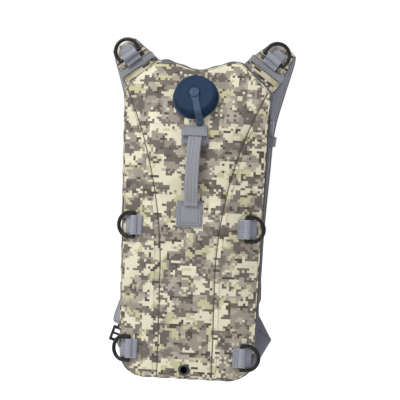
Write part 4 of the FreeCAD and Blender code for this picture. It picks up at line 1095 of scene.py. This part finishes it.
def lower_webbing():
    """The webbing between the back's lower corners and the ladder locks, folded over on the right."""

    def flat_run(name, c):
        """A flat run facing the wearer."""
        along = unit(np.gradient(c, axis=0) * [1, 0, 1])
        return sweep(name, c, np.cross(along, BACK), everywhere(BACK, c), RUN_WIDE, 1.5, ["strap_webbing"],
                     body=None)

    curve = smooth_rows([(-84, 28.9, 22), (-91, 29.2, 34), (-98, 31.0, 45), (-103, 35.5, 55)], 6)
    left = flat_run("lower_run_left", curve)
    right = flat_run("lower_run_right", np.linspace((85, 28.9, 20), (109.2, 29.8, 64.2), 8))
    upper = flat_run("lower_fold_right", np.linspace((109.2, 31.6, 51.8), (84, 36.5, 95), 8))
    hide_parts("lower_webbing_left")
    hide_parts("lower_webbing_right")
    for piece, side, low, high in ((left, "left", 40, 58), (upper, "right", 66, 94)):
        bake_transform(piece)
    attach(right, "pack")


# ---------------------------------------------------------------- filler port


def port_turn(turn=0.0):
    """The port's frame in metres: local Z leaves the sloping panel, local X turned about it."""
    base = place([0, FRONT_DEEP + (PORT_LEVEL - 370) * SLOPE, PORT_LEVEL])
    tilt = Matrix.Rotation(math.pi / 2 - SLOPE_ANGLE, 4, "X")
    return Matrix.Translation(Vector(base)) @ tilt @ Matrix.Rotation(turn, 4, "Z")


def filler_port():
    """The screw cap, and the tether from its button over the rim and under itself to the collar."""
    outer = [(27.4, 3.4), (30.4, 3.4), (31.0, 4.2), (30.9, 6.0), (30.3, 8.0), (29.0, 14.8)]
    rim = [(26.9 + 2.3 * math.cos(a), 15.9 + 2.3 * math.sin(a)) for a in np.radians(np.linspace(20, 85, 7))]
    top = [(25.6, 18.2), (24.8, 18.15), (16, 18.25), (9.7, 18.3), (9.5, 18.28), (9.2, 18.1), (9.0, 18.1),
           (3.4, 18.1), (3.4, 16.2), (0.05, 16.2), (0.05, 15.2), (27.4, 15.2)]
    cap = lathe("filler_cap", outer + rim + top, port_turn(), "cap_plastic", "cap")
    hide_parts("cap")
    profile = [(0.05, 21.9), (4.4, 21.9), (5.0, 21.55), (5.6, 21.9), (6.6, 21.75), (7.3, 21.2), (7.5, 20.6),
               (7.4, 20.0), (3.0, 20.0), (3.0, 16.4), (0.05, 16.4)]
    button = lathe("tether_button_head", profile, port_turn(), "tether_plastic", "tether", 48)
    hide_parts("tether_button")
    line = [(0, 19.3), (10, 19.3), (22, 19.35), (29.5, 19.2), (32.4, 17.6), (33.4, 13.5), (34.6, 9.4), (37.4, 6.2),
            (41.5, 4.9), (43.6, 4.2), (44.0, 3.2), (42.8, 2.6), (39, 2.5), (36.5, 2.5)]
    c = smooth_rows([(r, 0, h) for r, h in line], 6)
    along = unit(np.gradient(c, axis=0))
    across = everywhere(BACK, c)
    wide = np.interp(c[:, 0], [0, 7, 12, 30, 45], [13.2, 12.5, 9.2, 10, 11.5])
    out = -unit(np.cross(along, across))
    turn = port_turn(math.radians(-90 + 14.6))
    strap = sweep("tether_band", turned(turn, c * MM), turned(turn, across, 0), turned(turn, out, 0),
                  wide * MM, 1.3 * MM, ["tether_plastic"], body=None, in_mm=False)
    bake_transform(strap)
    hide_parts("tether_strap")


# ---------------------------------------------------------------- zip


def zip_chain():
    """Woven tape with a row of coil teeth along the right gusset."""
    low, high = 70.0, 390.0

    def wall(z):
        return LOW_HALF + (z - CORNER) * (HIGH_HALF - LOW_HALF) / (HIGH_LEVEL - CORNER)

    line = [(wall(z) + 0.6, 0, z) for z in np.linspace(low - 4, high + 4, 12)]
    tape = band("zip_tape", line, [0.0, 1.0, 0.0], 16, 0.8, "zip_cloth", slot="zip_cloth")
    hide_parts("zip_chain")
    verts, faces = [], []
    tooth_pitch = 1.8
    for number, z in enumerate(np.arange(low + 1, high - 1, tooth_pitch)):
        side = 1 if number % 2 else -1
        x = wall(z) + 1.0
        first = len(verts)
        for dz in (-0.62, 0.62):
            for y, h in ((-0.6, 0), (-0.6, 1.0), (0.6, 1.3), (2.4, 1.0), (2.4, 0)):
                verts.append((x + h, side * y, z + dz))
        faces += [tuple(first + k for k in range(5)), tuple(first + 5 + k for k in (4, 3, 2, 1, 0))]
        for k in range(5):
            faces.append((first + k, first + (k + 1) % 5, first + 5 + (k + 1) % 5, first + 5 + k))
    build("zip_teeth", place(verts), faces, ["coil_plastic"], "pack", smooth=False)


# ---------------------------------------------------------------- assembly


def finish_hard_parts():
    """Finishes and softened edges for the moulded and metal parts of the frame."""
    rings = [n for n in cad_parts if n.startswith("d_ring")]
    parts = {
        "black_plastic": rings + ["ladder_lock_left", "ladder_lock_right", "buckle_socket", "buckle_plug"],
        "cap_plastic": ["filler_neck", "hose_outlet", "tether_collar"],
        "rubber": ["cap_gasket"],
        "trim_cloth": ["port_facing"],
        "eyelet_metal": ["drain_grommet", "drain_washer"],
        "zip_metal": ["zip_slider", "zip_pull"],
    }
    for finish, names in parts.items():
        for name in names:
            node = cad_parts[name]
            node.data.materials.clear()
            node.data.materials.append(FINISHES[finish])
            if name not in rings:
                edge = node.modifiers.new("soft_edges", "BEVEL")
                edge.width = 0.0004
                edge.segments = 2
                edge.limit_method = "ANGLE"
                edge.angle_limit = math.radians(40)


def stage():
    """A pale floor well below the pack, soft light from the upper left and a weaker one from behind."""
    size, level = 30.0, -0.5
    corners = [(-size, -size, level), (size, -size, level), (size, size, level), (-size, size, level)]
    mesh = bpy.data.meshes.new("floor")
    mesh.from_pydata(corners, [], [(0, 1, 2, 3)])
    paint = bpy.data.materials.new("floor_paint")
    paint.use_nodes = True
    surface = paint.node_tree.nodes["Principled BSDF"]
    surface.inputs["Base Color"].default_value = (0.94, 0.94, 0.94, 1)
    surface.inputs["Roughness"].default_value = 0.9
    surface.inputs["Emission Color"].default_value = (1, 1, 1, 1)
    surface.inputs["Emission Strength"].default_value = 0.25
    mesh.materials.append(paint)
    floor = add_object("floor", mesh)
    world = bpy.data.worlds.new("studio")
    world.use_nodes = True
    world.node_tree.nodes["Background"].inputs[0].default_value = (1, 1, 1, 1)
    world.node_tree.nodes["Background"].inputs[1].default_value = 1.0
    bpy.context.scene.world = world
    area_light("key", (-0.8, -1.1, 1.6), 0.45, 42)
    area_light("fill", (0.5, 1.6, 0.9), 0.9, 16)


puffed_front = front_panels()
edge, edge_out, edge_depth = gusset()
welt("front_edge_welt", edge, edge_out, edge_depth, 1.1, "camouflage_cloth", -0.4)
welt("back_edge_binding", edge, edge_out, BACK_FRONT, 1.5, "trim_cloth", -0.3)
back_panel()
liner = inner_shell("liner_shell", "foam_liner", puffed_front, "foam", inset=2.0, gap=2.6, back=19.0, thickness=1.5)
inner_shell("bladder_shell", "bladder", puffed_front, "bladder_film", inset=6.5, gap=7.0, back=17.0, thickness=1.0)
side_tabs()
handle()
haul_loop()
straps = {name: shoulder_strap(name) for name in ("left", "right")}
chest_strap(straps)
lower_webbing()
filler_port()
zip_chain()
finish_hard_parts()
stage()

bpy.context.view_layer.update()
